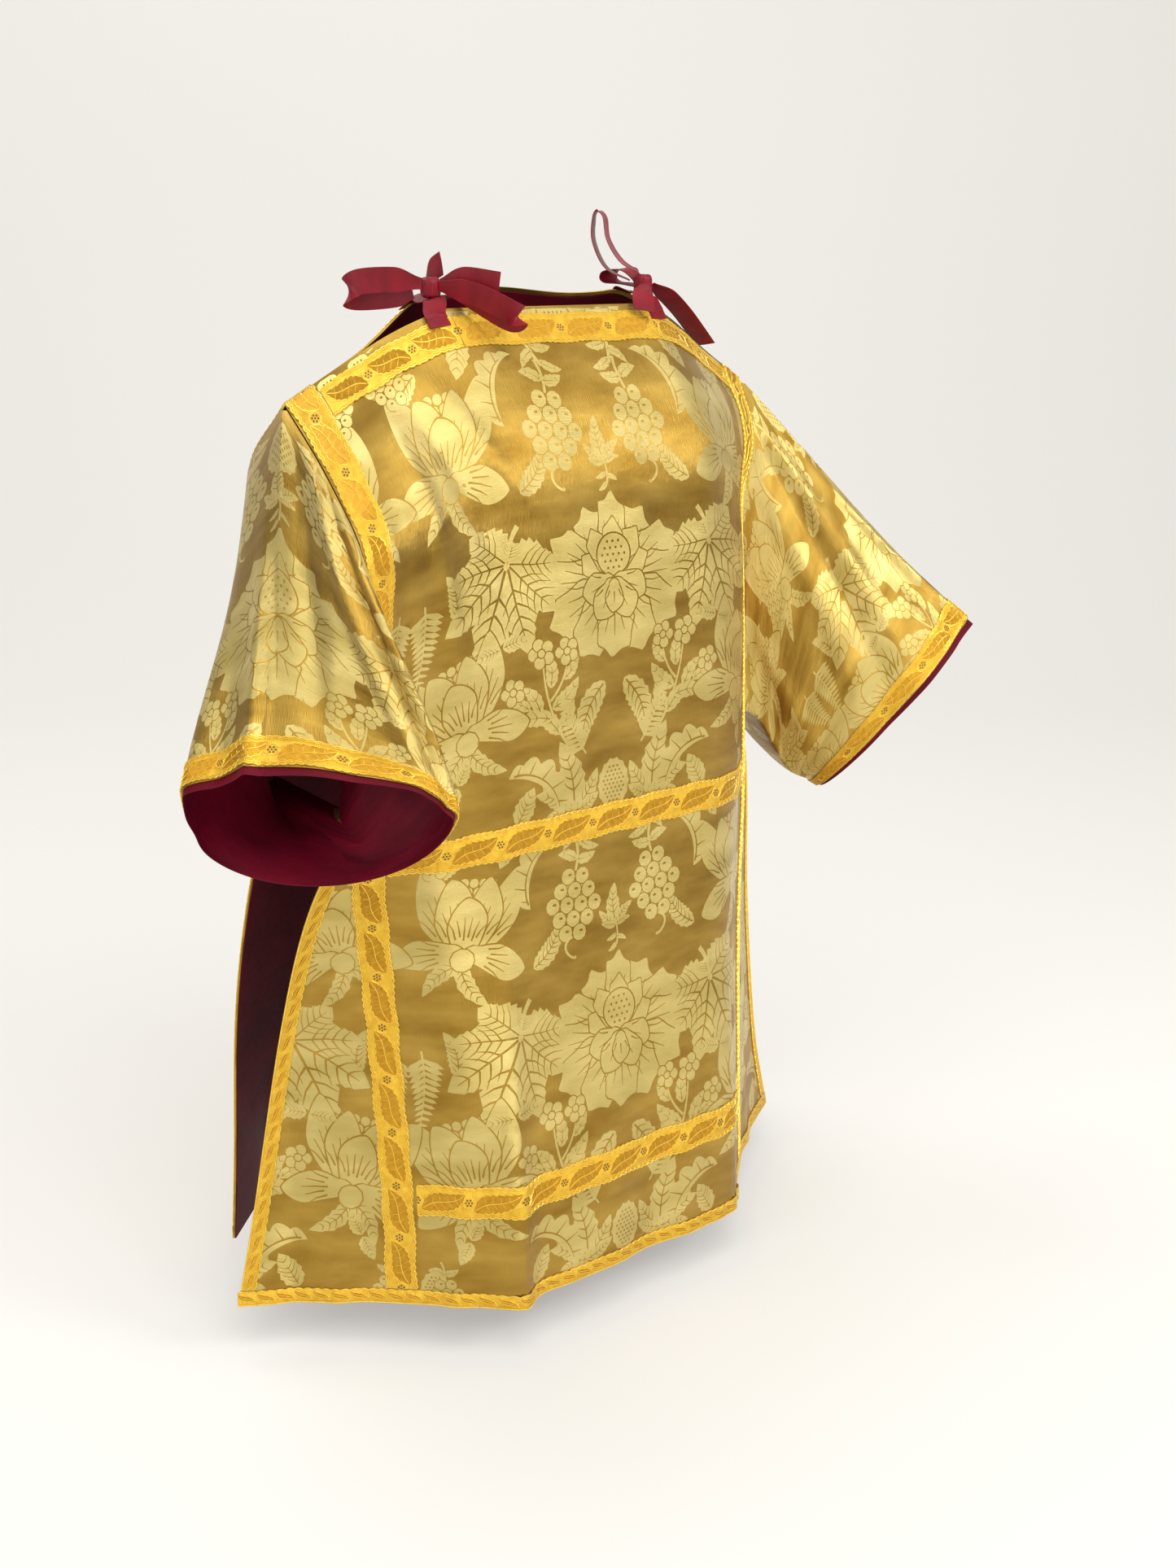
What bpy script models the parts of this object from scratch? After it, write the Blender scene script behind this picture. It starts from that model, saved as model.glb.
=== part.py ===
"""A Roman-cut dalmatic worn on a general figure: gold damask lined with crimson.

Metres, +Z up. The wearer faces -Y, and the wearer's right is at -X. The origin is in the neck
opening, where the wearer's shoulders hold the garment up.
Cloth is measured along itself: u runs across a panel from its middle, and t is the share of the
way from its top edge to its hem. Each wall is moved out from the cloth's own middle surface.
"""
import math

import bpy
import numpy as np

# Cut of the body
LENGTH = 1.080
NECK_HALF = 0.133
SLIT_END = 0.300
SHOULDER_DROP = 0.070
CLAVUS_WIDTH = 0.040
CLAVUS_HEM = 0.287
GORE_START = 0.497
GORE_CURVE = 0.65
FRONT_HEM_HALF = 0.472
BACK_HEM_HALF = 0.445
UNDERARM = 0.45
LEVEL_OUT = 3.0
NAPE_RISE = 0.018
NAPE_TURN = 60.0
NAPE_ROUND = 0.018
SLIT_ARCH = 0.016
ARCH_OUT = 0.020
ARCH_WIDTH = 0.070
SLOPE_POWER = 1.15
BACK_CORNER = 0.148
BACK_EXTRA = 0.024
RIDGE_GAP = 0.0016
MEET_FADE = 0.14

# Braids laid on the cloth
WIDE_BRAID = 0.040
NARROW_BRAID = 0.018
HEM_BRAID_TOP = 0.9833
BAND_MID = 0.497
BAND_LOW = 0.866

# Walls, as distances out from the middle surface
GAP = 0.0003
CLOTH_LOW, CLOTH_HIGH = -0.0007, 0.0007
LINING_LOW, LINING_HIGH = -0.0020, -0.0010
BRAID_LOW, BRAID_HIGH = 0.0010, 0.0020
SEAM_GAP = 0.0014
LINING_SETBACK = 0.0040
RIDGE_CLEAR = 0.35
MITRE_LIMIT = 0.75

# Hanging shape, level by level. depth is where the middle of the panel stands, shift moves it
# sideways, and beyond the flat middle the cloth bends over the bend length by the turns.
FRONT_SECTIONS = (
    # down, depth, shift, flat, bend, turn_right, turn_left, relax
    (0.00, -0.088, -0.006, 0.110, 0.060, 8, 10, 0),
    (0.08, -0.142, 0.000, 0.120, 0.120, -4, 26, 0),
    (0.17, -0.180, 0.000, 0.120, 0.120, -14, 42, 0),
    (0.29, -0.194, 0.000, 0.120, 0.130, -2, 46, 0),
    (0.45, -0.196, -0.002, 0.125, 0.120, 20, 44, 0),
    (0.55, -0.200, -0.004, 0.125, 0.110, 30, 42, 0),
    (0.70, -0.222, -0.014, 0.125, 0.090, 42, 43, 4),
    (0.89, -0.256, -0.030, 0.130, 0.070, 44, 44, 8),
    (1.00, -0.266, -0.036, 0.135, 0.060, 43, 43, 12),
)
BACK_SECTIONS = (
    # down, depth, shift, flat, bend, turn_right, turn_left, relax
    (0.00, 0.030, 0.000, 0.100, 0.100, 0, 0, 0),
    (0.08, 0.078, 0.000, 0.080, 0.160, 24, 24, 0),
    (0.17, 0.108, 0.000, 0.080, 0.180, 32, 28, 0),
    (0.29, 0.124, 0.000, 0.080, 0.200, 40, 36, 0),
    (0.45, 0.136, 0.000, 0.080, 0.200, 42, 40, 0),
    (0.55, 0.150, 0.000, 0.080, 0.200, 38, 38, 0),
    (0.70, 0.176, 0.000, 0.080, 0.200, 37, 36, 0),
    (0.89, 0.222, 0.000, 0.080, 0.200, 42, 40, 0),
    (1.00, 0.246, 0.000, 0.080, 0.200, 44, 42, 0),
)
RELAX_FROM = 0.30
RELAX_OVER = 0.12
GRID_HALF = 0.60
GRID_COUNT = 1201

# Largest soft folds: a ridge where height is positive, a trough where it is negative
FRONT_FOLDS = (
    # across_top, across_low, top, low, width, height
    (-0.150, -0.158, 0.60, 1.30, 0.022, 0.009),
    (-0.235, -0.215, 0.30, 0.85, 0.030, 0.006),
    (0.165, 0.175, 0.62, 1.30, 0.020, 0.008),
    (0.060, 0.020, 0.70, 1.20, 0.040, -0.006),
    (-0.060, -0.070, 0.05, 0.55, 0.045, 0.004),
)
BACK_FOLDS = (
    # across_top, across_low, top, low, width, height
    (-0.160, -0.180, 0.35, 1.30, 0.035, 0.010),
    (0.150, 0.190, 0.35, 1.30, 0.035, 0.010),
    (0.000, 0.010, 0.25, 1.30, 0.040, -0.008),
)
FOLD_POWER = 0.8
FOLD_FADE = 1.6

# Sleeves: near and far are the two ends of the hem's flattened ring, sag the way it hangs open,
# start the angle where the pressed shoulder crease meets the hem, and leave and arrive the ways
# the cloth runs out of the armhole and into the hem.
SLEEVES = {
    "right": dict(side=-1, near=(-0.302, -0.350, -0.440), far=(-0.490, -0.158, -0.424),
                  sag=(0.000, 0.058, -0.081), sink=0.045, rise=0.056, hang=0.115, start=117.0,
                  leave=(-0.45, -0.62, -0.64), leave_front=(0.10, -0.90, -0.42),
                  leave_under=(-0.93, -0.34, -0.05), arrive=(-0.45, -0.55, -0.70), slack=0.0),
    "left": dict(side=1, near=(0.533, -0.250, -0.392), far=(0.405, -0.120, -0.612),
                 sag=(0.700, 0.710, 0.040), sink=0.0, rise=0.070, hang=0.070, start=0.0,
                 leave=(0.62, -0.35, -0.70), leave_front=(0.40, -0.60, -0.70),
                 leave_under=(0.97, -0.20, 0.15), arrive=(0.62, -0.48, -0.62), slack=0.035),
}
ARMHOLE_SHARE = 0.46
FRONT_OF_ARM, FRONT_SPREAD = 0.27, 0.12
UNDER_ARM, UNDER_SPREAD, DROOP_SPREAD = 0.50, 0.085, 0.14
UNDER_STATIONS = (0.48, 0.50, 0.52)
SLEEVE_BRAID_TOP = 0.885
SLEEVE_CLOTH_END = 0.977

# Ribbon bows, one on each shoulder. Each strand is a run of points out from the knot towards
# its side, forward and up, with the ways its width faces at the start and at the end.
RIBBON_WIDTH = 0.026
RIBBON_THICK = 0.0010
RIBBON_GATHER = 0.45
GATHER_OVER = 0.028
KNOT_SIZE = (0.021, 0.016, 0.022)
KNOT_ROUND = 0.005
TIE_LIFT = 0.0032
TIE_DOWN = (0.014, 0.006, 0.0)
TIE_UNDER_KNOT = (-0.007, 0.009)
BOWS = {
    "right": dict(side=-1, across=0.150, knot=(-0.150, -0.073, 0.021), strands=(
        ("loop_out", ((0.0118, 0.002, 0.004), (0.035, -0.018, 0.008), (0.060, -0.042, 0.006),
                      (0.067, -0.052, -0.002), (0.060, -0.057, -0.010), (0.036, -0.036, -0.009),
                      (0.0135, -0.013, -0.004)), (0.1, 0.1, 1.0), (-0.1, 0.2, 1.0)),
        ("loop_front", ((-0.004, 0.0108, 0.002), (-0.030, 0.044, -0.008), (-0.056, 0.066, -0.024),
                        (-0.063, 0.067, -0.030), (-0.059, 0.059, -0.033), (-0.036, 0.040, -0.017),
                        (-0.0145, 0.0145, 0.002)), (0.3, 0.1, 0.9), (0.4, 0.3, 0.8)),
        ("tail_front", ((-0.0119, 0.002, 0.003), (-0.030, 0.018, 0.008), (-0.058, 0.043, 0.003)),
         (0.0, 0.1, 1.0), (0.0, 0.1, 1.0)),
        ("tail_back", ((-0.002, -0.0105, 0.004), (-0.016, -0.022, 0.016), (-0.034, -0.030, 0.024)),
         (0.3, 0.3, 1.0), (0.5, 0.3, 0.9)),
    )),
    "left": dict(side=1, across=0.146, knot=(0.138, -0.073, 0.021), strands=(
        ("loop_up", ((-0.004, -0.002, 0.0130), (-0.024, -0.010, 0.026), (-0.034, -0.020, 0.048),
                     (-0.032, -0.030, 0.072), (-0.036, -0.037, 0.079), (-0.041, -0.038, 0.070),
                     (-0.044, -0.034, 0.046), (-0.034, -0.024, 0.018), (-0.013, -0.008, 0.004)),
         (0.5, -0.8, 0.1), (0.5, -0.8, 0.0)),
        ("loop_back", ((0.000, -0.0093, 0.003), (0.002, -0.030, 0.016), (0.004, -0.062, 0.014),
                       (0.004, -0.068, 0.006), (0.003, -0.058, 0.001), (0.000, -0.032, 0.000),
                       (0.000, -0.0110, -0.003)), (1.0, 0.0, 0.1), (1.0, 0.0, 0.0)),
        ("tail_out", ((0.0114, 0.000, -0.001), (0.034, 0.000, -0.012), (0.064, -0.006, -0.032),
                      (0.090, -0.013, -0.052), (0.114, -0.020, -0.071)),
         (0.0, 1.0, 0.5), (0.1, 1.0, 0.35)),
        ("tail_front", ((-0.006, 0.0100, 0.000), (-0.018, 0.022, -0.008), (-0.026, 0.034, -0.028)),
         (0.9, 0.3, 0.2), (1.0, 0.2, 0.0)),
    )),
}

# Colours of the parts
DAMASK = (0.42, 0.28, 0.07, 1.0)
CRIMSON = (0.20, 0.004, 0.018, 1.0)
BRAID = (0.80, 0.45, 0.03, 1.0)
RIBBON = (0.36, 0.004, 0.020, 1.0)

# Rows down a panel and shares across it, which the braids' edges follow
ROWS = (0.0, 0.037, 0.075, 0.12, 0.17, 0.225, 0.285, 0.34, 0.395, UNDERARM,
        GORE_START, BAND_MID + 0.037, 0.60, 0.67, 0.735, 0.80,
        BAND_LOW, BAND_LOW + 0.037, 0.945, HEM_BRAID_TOP, 1.0)
FRONT_SHARES = (0.0, 0.15, 0.30, NECK_HALF / SLIT_END, 0.58, 0.72, 0.86, 1.0)
BACK_SHARES = (0.0, 0.15, 0.30, BACK_CORNER / (SLIT_END + BACK_EXTRA), 0.60, 0.74, 0.87, 1.0)
SLEEVE_ROWS = (0.0, 0.02, 0.10, 0.20, 0.32, 0.44, 0.56, 0.68, 0.79, SLEEVE_BRAID_TOP,
               SLEEVE_CLOTH_END, 1.0)


def smooth(x):
    x = np.clip(x, 0.0, 1.0)
    return x * x * (3.0 - 2.0 * x)


def unit(vector):
    vector = np.asarray(vector, float)
    return vector / np.linalg.norm(vector, axis=-1, keepdims=True)


def slit_slope(a, corner):
    """Height lost along a shoulder slit, from the neck's corner outwards."""
    run = SLIT_END - NECK_HALF
    return -SHOULDER_DROP * np.clip((a - corner) / run, 0.0, None) ** SLOPE_POWER


def front_edge_height(u):
    return slit_slope(np.abs(u), NECK_HALF)


def back_edge_height(u):
    a = np.abs(u)
    nape = NAPE_RISE * (1.0 - smooth(a / BACK_CORNER))
    arch = SLIT_ARCH * np.exp(-((a - BACK_CORNER - ARCH_OUT) / ARCH_WIDTH) ** 2)
    return nape + arch + slit_slope(a, BACK_CORNER)


def blend_weights(s):
    """Cubic weights of a start, its direction, an end and its direction."""
    return (2 * s ** 3 - 3 * s ** 2 + 1, s ** 3 - 2 * s ** 2 + s,
            -2 * s ** 3 + 3 * s ** 2, s ** 3 - s ** 2)


class Panel:
    """The front or the back: its middle surface as a smooth function of u and t."""

    def __init__(self, sections, folds, outward, edge_height, corner, extra):
        self.folds = folds
        self.outward = outward
        self.edge_height = edge_height
        self.corner = corner
        self.extra = extra
        self.other = None
        self.grid = np.linspace(-GRID_HALF, GRID_HALF, GRID_COUNT)
        self.down = np.array([row[0] for row in sections])
        self.x_rows = []
        self.y_rows = []
        for section in sections:
            self.add_section(*section)
        self.x_rows = np.array(self.x_rows)
        self.y_rows = np.array(self.y_rows)

    def add_section(self, down, depth, shift, flat, bend, turn_right, turn_left, relax):
        """One level's outline, walked out from the middle along the cloth."""
        a = np.abs(self.grid)
        turn = np.where(self.grid < 0, turn_right, turn_left)
        heading = turn * smooth((a - flat) / bend) - relax * smooth((a - RELAX_FROM) / RELAX_OVER)
        if self.outward > 0 and down == 0.0:
            leave = 1.0 - smooth((a - self.corner + NAPE_ROUND) / (2 * NAPE_ROUND))
            heading = NAPE_TURN * np.clip(a / self.corner, 0, 1) * leave
        heading = np.radians(heading)
        slope = np.gradient(self.edge_height(self.grid), self.grid) * (1.0 - down) ** LEVEL_OUT
        level = np.sqrt(np.clip(1.0 - slope ** 2, 0.2, 1.0))
        self.x_rows.append(shift + self.walk(np.cos(heading) * level))
        across = self.walk(np.sin(heading) * np.sign(self.grid) * level)
        self.y_rows.append(depth - self.outward * across)

    def walk(self, steps):
        width = self.grid[1] - self.grid[0]
        total = np.concatenate([[0.0], np.cumsum((steps[1:] + steps[:-1]) * 0.5 * width)])
        return total - np.interp(0.0, self.grid, total)

    def between_rows(self, table, u, t):
        """A smooth curve down through the section outlines."""
        down = self.down
        last = len(down) - 1
        k = np.clip(np.searchsorted(down, t, side="right") - 1, 0, last - 1)
        place = (u - self.grid[0]) / (self.grid[1] - self.grid[0])
        i = np.clip(place.astype(int), 0, len(self.grid) - 2)
        w = place - i

        def value(row):
            return table[row, i] * (1 - w) + table[row, i + 1] * w

        def slope(row):
            above = np.clip(row - 1, 0, last)
            below = np.clip(row + 1, 0, last)
            return (value(below) - value(above)) / (down[below] - down[above])

        span = down[k + 1] - down[k]
        start, start_way, end, end_way = blend_weights((t - down[k]) / span)
        return (start * value(k) + start_way * span * slope(k)
                + end * value(k + 1) + end_way * span * slope(k + 1))

    def hang(self, u, t):
        u, t = np.broadcast_arrays(np.asarray(u, float), np.asarray(t, float))
        x = self.between_rows(self.x_rows, u, t)
        y = self.between_rows(self.y_rows, u, t)
        z = -LENGTH * t + self.edge_height(u) * np.clip(1.0 - t, 0, 1) ** LEVEL_OUT
        return np.stack([x, y, z], -1)

    def joined(self, u, t):
        """The hanging surface, drawn to the other panel where the shoulders are sewn."""
        base = self.hang(u, t)
        a = np.abs(u)
        top = np.zeros(base.shape[:-1])
        here = self.hang(u, top)
        there = self.other.hang(np.sign(u) * (a + self.other.extra - self.extra), top)
        apart = there - here
        far = np.linalg.norm(apart, axis=-1, keepdims=True)
        share = 0.5 * (1.0 - RIDGE_GAP / np.maximum(far, RIDGE_GAP))
        outer = smooth((a - self.corner) / (SLIT_END + self.extra - self.corner))
        fade = smooth(1.0 - np.abs(t) / MEET_FADE)
        return base + apart * share * (outer * fade)[..., None]

    def fold_height(self, u, t):
        height_here = np.zeros(np.shape(t))
        for across_top, across_low, top, low, width, height in self.folds:
            share = np.clip((t - top) / (low - top), 0.0, 1.0)
            middle = across_top + (across_low - across_top) * share
            if low <= 1.0:
                strength = np.sin(math.pi * share) ** FOLD_POWER
            else:
                strength = smooth(share * FOLD_FADE)
            height_here = height_here + height * strength * np.exp(-((u - middle) / width) ** 2)
        return height_here

    def normal(self, surface, u, t, step=1e-3):
        across = surface(u + step, t) - surface(u - step, t)
        down = surface(u, t + step) - surface(u, t - step)
        return unit(np.cross(across, down) * self.outward)

    def folded(self, u, t):
        return self.joined(u, t) + (self.normal(self.joined, u, t)
                                    * self.fold_height(u, t)[..., None])

    def point(self, u, t, lift=0.0):
        """The cloth at u and t, moved out by lift."""
        u, t = np.broadcast_arrays(np.asarray(u, float), np.asarray(t, float))
        return self.folded(u, t) + self.normal(self.folded, u, t) * lift

    def clavus_middle(self, t):
        top = SLIT_END + CLAVUS_WIDTH / 2
        return self.extra + top + (CLAVUS_HEM - top) * smooth(np.asarray(t, float))

    def clavus_inner(self, t):
        return self.clavus_middle(t) - CLAVUS_WIDTH / 2

    def seam(self, t):
        """From the middle to the sleeve seam, which is the outer edge of the clavus."""
        return self.clavus_middle(t) + CLAVUS_WIDTH / 2

    def side_edge(self, t):
        """From the middle to the free side edge, which curves out below the underarm."""
        hem = FRONT_HEM_HALF if self.outward < 0 else BACK_HEM_HALF
        share = np.clip((np.asarray(t, float) - GORE_START) / (1.0 - GORE_START), 0, 1)
        return self.seam(t) + (hem - self.seam(1.0)) * share ** GORE_CURVE


FRONT = Panel(FRONT_SECTIONS, FRONT_FOLDS, -1, front_edge_height, NECK_HALF, 0.0)
BACK = Panel(BACK_SECTIONS, BACK_FOLDS, 1, back_edge_height, BACK_CORNER, BACK_EXTRA)
FRONT.other = BACK
BACK.other = FRONT


class Sleeve:
    """A sleeve as a tube: f runs once round it from the shoulder crease, s from seam to hem."""

    def __init__(self, shape):
        self.shape = shape

    def root(self, f):
        """The armhole: down the front seam, under the arm and up the back seam."""
        side = self.shape["side"]
        front_t = UNDERARM * np.clip(f / ARMHOLE_SHARE, 0, 1)
        back_t = UNDERARM * np.clip((1.0 - f) / ARMHOLE_SHARE, 0, 1)
        front = FRONT.point(side * (FRONT.seam(front_t) + SEAM_GAP), front_t)
        back = BACK.point(side * (BACK.seam(back_t) + SEAM_GAP), back_t)
        under = smooth((f - ARMHOLE_SHARE) / (1.0 - 2 * ARMHOLE_SHARE))[..., None]
        return front * (1 - under) + back * under

    def rim(self, f):
        """The hem: a flattened ring that hangs open below the forearm."""
        shape = self.shape
        near = np.array(shape["near"])
        far = np.array(shape["far"])
        sag = unit(shape["sag"])
        angle = np.radians(shape["start"] + shape["side"] * 360.0 * f)
        depth = np.where(np.sin(angle) > 0, shape["rise"], shape["hang"])
        return ((near + far) / 2 + sag * shape["sink"]
                + (near - far) / 2 * np.cos(angle)[..., None]
                - sag * (depth * np.sin(angle))[..., None])

    def middle_line(self, f, s):
        f, s = np.broadcast_arrays(np.asarray(f, float) % 1.0, np.asarray(s, float))
        shape = self.shape
        root = self.root(f)
        rim = self.rim(f)
        forward = np.exp(-((f - FRONT_OF_ARM) / FRONT_SPREAD) ** 2)[..., None]
        under = np.exp(-((f - UNDER_ARM) / UNDER_SPREAD) ** 2)[..., None]
        leave = np.array(shape["leave"]) * (1 - forward) + np.array(shape["leave_front"]) * forward
        leave = unit(leave * (1 - under) + np.array(shape["leave_under"]) * under)
        arrive = unit(shape["arrive"])
        reach = np.linalg.norm(rim - root, axis=-1, keepdims=True)
        start, start_way, end, end_way = blend_weights(s[..., None])
        droop = shape["slack"] * np.exp(-((f - UNDER_ARM) / DROOP_SPREAD) ** 2) * np.sin(math.pi * s) ** 2
        line = start * root + start_way * leave * reach + end * rim + end_way * arrive * reach
        return line + droop[..., None] * np.array([0.0, 0.0, -1.0])

    def layer(self, rows, lift):
        """Points at the given rows, moved out by lift along the grid's own mean normals."""
        stations = sleeve_stations()
        f = np.repeat(stations[None, :], len(SLEEVE_ROWS), axis=0)
        s = np.repeat(np.array(SLEEVE_ROWS)[:, None], len(stations), axis=1)
        points = self.middle_line(f, s)
        outward = ring_normals(points) * -self.shape["side"]
        chosen = [SLEEVE_ROWS.index(row) for row in rows]
        return (points + outward * lift)[chosen]


def ring_normals(points):
    """A direction at each corner of a ring of cells that keeps walls even round sharp folds."""
    down = points[1:] - points[:-1]
    across = np.roll(points, -1, axis=1) - points
    total = np.zeros_like(points)
    facets = []
    for j in range(len(points) - 1):
        upper = unit(np.cross(down[j], across[j]))
        lower = unit(np.cross(down[j], across[j + 1]))
        facets.append(unit(upper + lower))
    for j, facet in enumerate(facets):
        both = facet + np.roll(facet, 1, axis=0)
        total[j] += both
        total[j + 1] += both
    total = unit(total)
    near = [facets[min(j, len(facets) - 1)] for j in range(len(points))]
    lean = np.sum(total * np.array(near), axis=-1, keepdims=True)
    return total / np.clip(lean, MITRE_LIMIT, 1.0)


def sleeve_stations():
    """Places round a sleeve that meet the rows of the panels at the armhole."""
    down = [row for row in ROWS if row <= UNDERARM]
    front = [ARMHOLE_SHARE * row / UNDERARM for row in down]
    back = [1.0 - place for place in reversed(front[1:])]
    return np.array(front + list(UNDER_STATIONS) + back)


def new_material(name, colour, roughness):
    material = bpy.data.materials.new(name)
    material.use_nodes = True
    shader = material.node_tree.nodes["Principled BSDF"]
    shader.inputs["Base Color"].default_value = colour
    shader.inputs["Roughness"].default_value = roughness
    shader.inputs["Metallic"].default_value = 0.0
    return material


def add_object(name, points, faces, material):
    mesh = bpy.data.meshes.new(name)
    mesh.from_pydata([tuple(point) for point in points], [], faces)
    mesh.materials.append(material)
    mesh.shade_smooth()
    mesh.set_sharp_from_angle(angle=math.radians(40))
    piece = bpy.data.objects.new(name, mesh)
    bpy.context.collection.objects.link(piece)
    return piece


def wall(name, inner, outer, material, kept=None, ring=False, same=None):
    """A closed wall between two grids of points.

    kept says which cells are cloth, ring joins the last column to the first, and same gives
    the corner that stands in for another where columns run together to a point.
    """
    rows, columns = outer.shape[:2]
    cells = [(j, i) for j in range(rows - 1) for i in range(columns if ring else columns - 1)
             if kept is None or kept(j, i)]
    rim = {}
    faces = []
    number = {}

    def index(layer, corner):
        return number.setdefault((layer,) + corner, len(number))

    for j, i in cells:
        corners = ((j, i), (j + 1, i), (j + 1, (i + 1) % columns), (j, (i + 1) % columns))
        if same:
            corners = [same(*corner) for corner in corners]
        a, b, c, d = corners
        # every layer splits a cell along its raised diagonal, so layers stay parallel
        raised = outer[a] + outer[c] - outer[b] - outer[d]
        if np.dot(raised, outer[a] - inner[a]) >= 0:
            triangles = ((a, b, c), (a, c, d))
        else:
            triangles = ((a, b, d), (b, c, d))
        for triangle in triangles:
            if len(set(triangle)) < 3:
                continue
            faces.append([index(1, corner) for corner in triangle])
            faces.append([index(0, corner) for corner in reversed(triangle)])
        for start, end in ((a, b), (b, c), (c, d), (d, a)):
            if (end, start) in rim:
                del rim[(end, start)]
            elif start != end:
                rim[(start, end)] = True
    for start, end in rim:
        faces.append([index(1, end), index(1, start), index(0, start), index(0, end)])
    grids = (inner, outer)
    points = [grids[layer][j, i] for layer, j, i in number]
    outward = 0.0
    for j, i in cells:
        down = outer[j + 1, i] - outer[j, i]
        across = outer[j, (i + 1) % columns] - outer[j, i]
        outward += np.dot(np.cross(down, across), outer[j, i] - inner[j, i])
    if outward < 0:
        faces = [list(reversed(face)) for face in faces]
    return add_object(name, points, faces, material)


def panel_columns(panel, shares, side_setback=0.0):
    """Each column's distance from the middle, as a function of t, from one side to the other."""
    half = [lambda t, share=share: share * panel.clavus_inner(t) for share in shares[1:]]
    half.append(lambda t: panel.seam(t) - side_setback * (np.asarray(t) <= UNDERARM))
    for share in (1 / 3, 2 / 3, 1.0):
        half.append(lambda t, share=share: panel.seam(t)
                    + share * (panel.side_edge(t) - NARROW_BRAID - panel.seam(t)))
    half.append(panel.side_edge)
    left = [lambda t, column=column: -column(t) for column in reversed(half)]
    return left + [lambda t: np.zeros(np.shape(t))] + half


def panel_wall(name, panel, shares, low, high, material, top=0.0, side_setback=0.0):
    """A whole panel or its lining, with the open sides flared below the underarm."""
    rows = np.array(ROWS)
    rows[0] = top
    columns = panel_columns(panel, shares, side_setback)
    first = 4
    last = len(columns) - 1 - first
    gore_row = ROWS.index(GORE_START)
    t = np.repeat(rows[:, None], len(columns), axis=1)
    u = np.stack([column(rows) for column in columns], axis=1)

    def kept(j, i):
        return j >= gore_row or first <= i < last

    def same(j, i):
        return (j, min(max(i, first), last)) if j <= gore_row else (j, i)

    return wall(name, panel.point(u, t, low), panel.point(u, t, high), material, kept, same=same)


def strip(name, panel, u, t, material):
    """A length of braid laid on a panel's own points."""
    return wall(name, panel.point(u, t, BRAID_LOW), panel.point(u, t, BRAID_HIGH), material)


def trimmed(values):
    """Rows or columns of a strip, with its two ends drawn in by the gap between pieces."""
    values = np.array(values, float)
    inward = GAP * np.sign(values[-1] - values[0])
    values[0] += inward
    values[-1] -= inward
    return values


def clavus(name, side, material):
    """One braid from the front hem over the shoulder to the back hem."""
    stop = ROWS.index(HEM_BRAID_TOP) + 1
    rows = np.array(ROWS[:stop])
    rows[-1] -= GAP
    walls = []
    for lift in (BRAID_LOW, BRAID_HIGH):
        halves = []
        for panel in (FRONT, BACK):
            inner = panel.clavus_inner(rows) + GAP
            outer = panel.seam(rows) - GAP
            u = side * np.stack([inner, outer], axis=1)
            t = np.repeat(rows[:, None], 2, axis=1)
            half = panel.point(u, t, lift)
            half[0] += np.array([0.0, 0.0, RIDGE_CLEAR * lift])
            halves.append(half)
        walls.append(np.concatenate([halves[0][::-1], halves[1]]))
    return wall(name, walls[0], walls[1], material)


def band(name, panel, shares, top, material):
    """A crosswise braid between the two clavi."""
    half = np.array(shares)
    across = trimmed(np.concatenate([-half[:0:-1], half]))
    rows = trimmed([top, top + WIDE_BRAID / LENGTH])
    t = np.repeat(rows[:, None], len(across), axis=1)
    u = across[None, :] * panel.clavus_inner(rows)[:, None]
    return strip(name, panel, u, t, material)


def top_band(name, panel, shares, first, last, side, material):
    """Braid along the top edge, between two of the panel's columns."""
    low = panel.clavus_inner(0.0)
    chosen = np.array(shares[first:last + 1]) * low
    if side == 0:
        chosen = np.concatenate([-chosen[:0:-1], chosen])
        side = 1
    across = side * trimmed(chosen)
    rows = trimmed([0.0, ROWS[1]])
    t = np.repeat(rows[:, None], len(across), axis=1)
    u = np.repeat(across[None, :], 2, axis=0)
    return strip(name, panel, u, t, material)


def side_braid(name, panel, side, material):
    """Narrow braid down a free side edge, from a point at the top of the gore."""
    rows = np.array(ROWS[ROWS.index(GORE_START):ROWS.index(HEM_BRAID_TOP) + 1])
    rows[-1] -= GAP
    outer = panel.side_edge(rows)
    inner = outer - NARROW_BRAID
    inner[0] = outer[0] = outer[0] + GAP
    u = side * np.stack([inner, outer], axis=1)
    t = np.repeat(rows[:, None], 2, axis=1)
    return wall(name, panel.point(u, t, BRAID_LOW), panel.point(u, t, BRAID_HIGH), material,
                same=lambda j, i: (j, i if j else 0))


def hem_braid(name, panel, shares, material):
    """Narrow braid along the whole hem."""
    rows = np.array([HEM_BRAID_TOP + GAP, 1.0])
    columns = panel_columns(panel, shares)
    u = np.stack([column(rows) for column in columns], axis=1)
    t = np.repeat(rows[:, None], len(columns), axis=1)
    return strip(name, panel, u, t, material)


def sleeve_wall(name, sleeve, rows, low, high, material):
    return wall(name, sleeve.layer(rows, low), sleeve.layer(rows, high), material, ring=True)


def ribbon_curve(points, count):
    """A smooth run through a strand's points."""
    points = np.array(points, float)
    places = np.linspace(0, len(points) - 1, count)
    k = np.clip(places.astype(int), 0, len(points) - 2)
    start, start_way, end, end_way = blend_weights((places - k)[:, None])
    ways = np.gradient(points, axis=0)
    return (start * points[k] + start_way * ways[k]
            + end * points[k + 1] + end_way * ways[k + 1])


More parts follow.
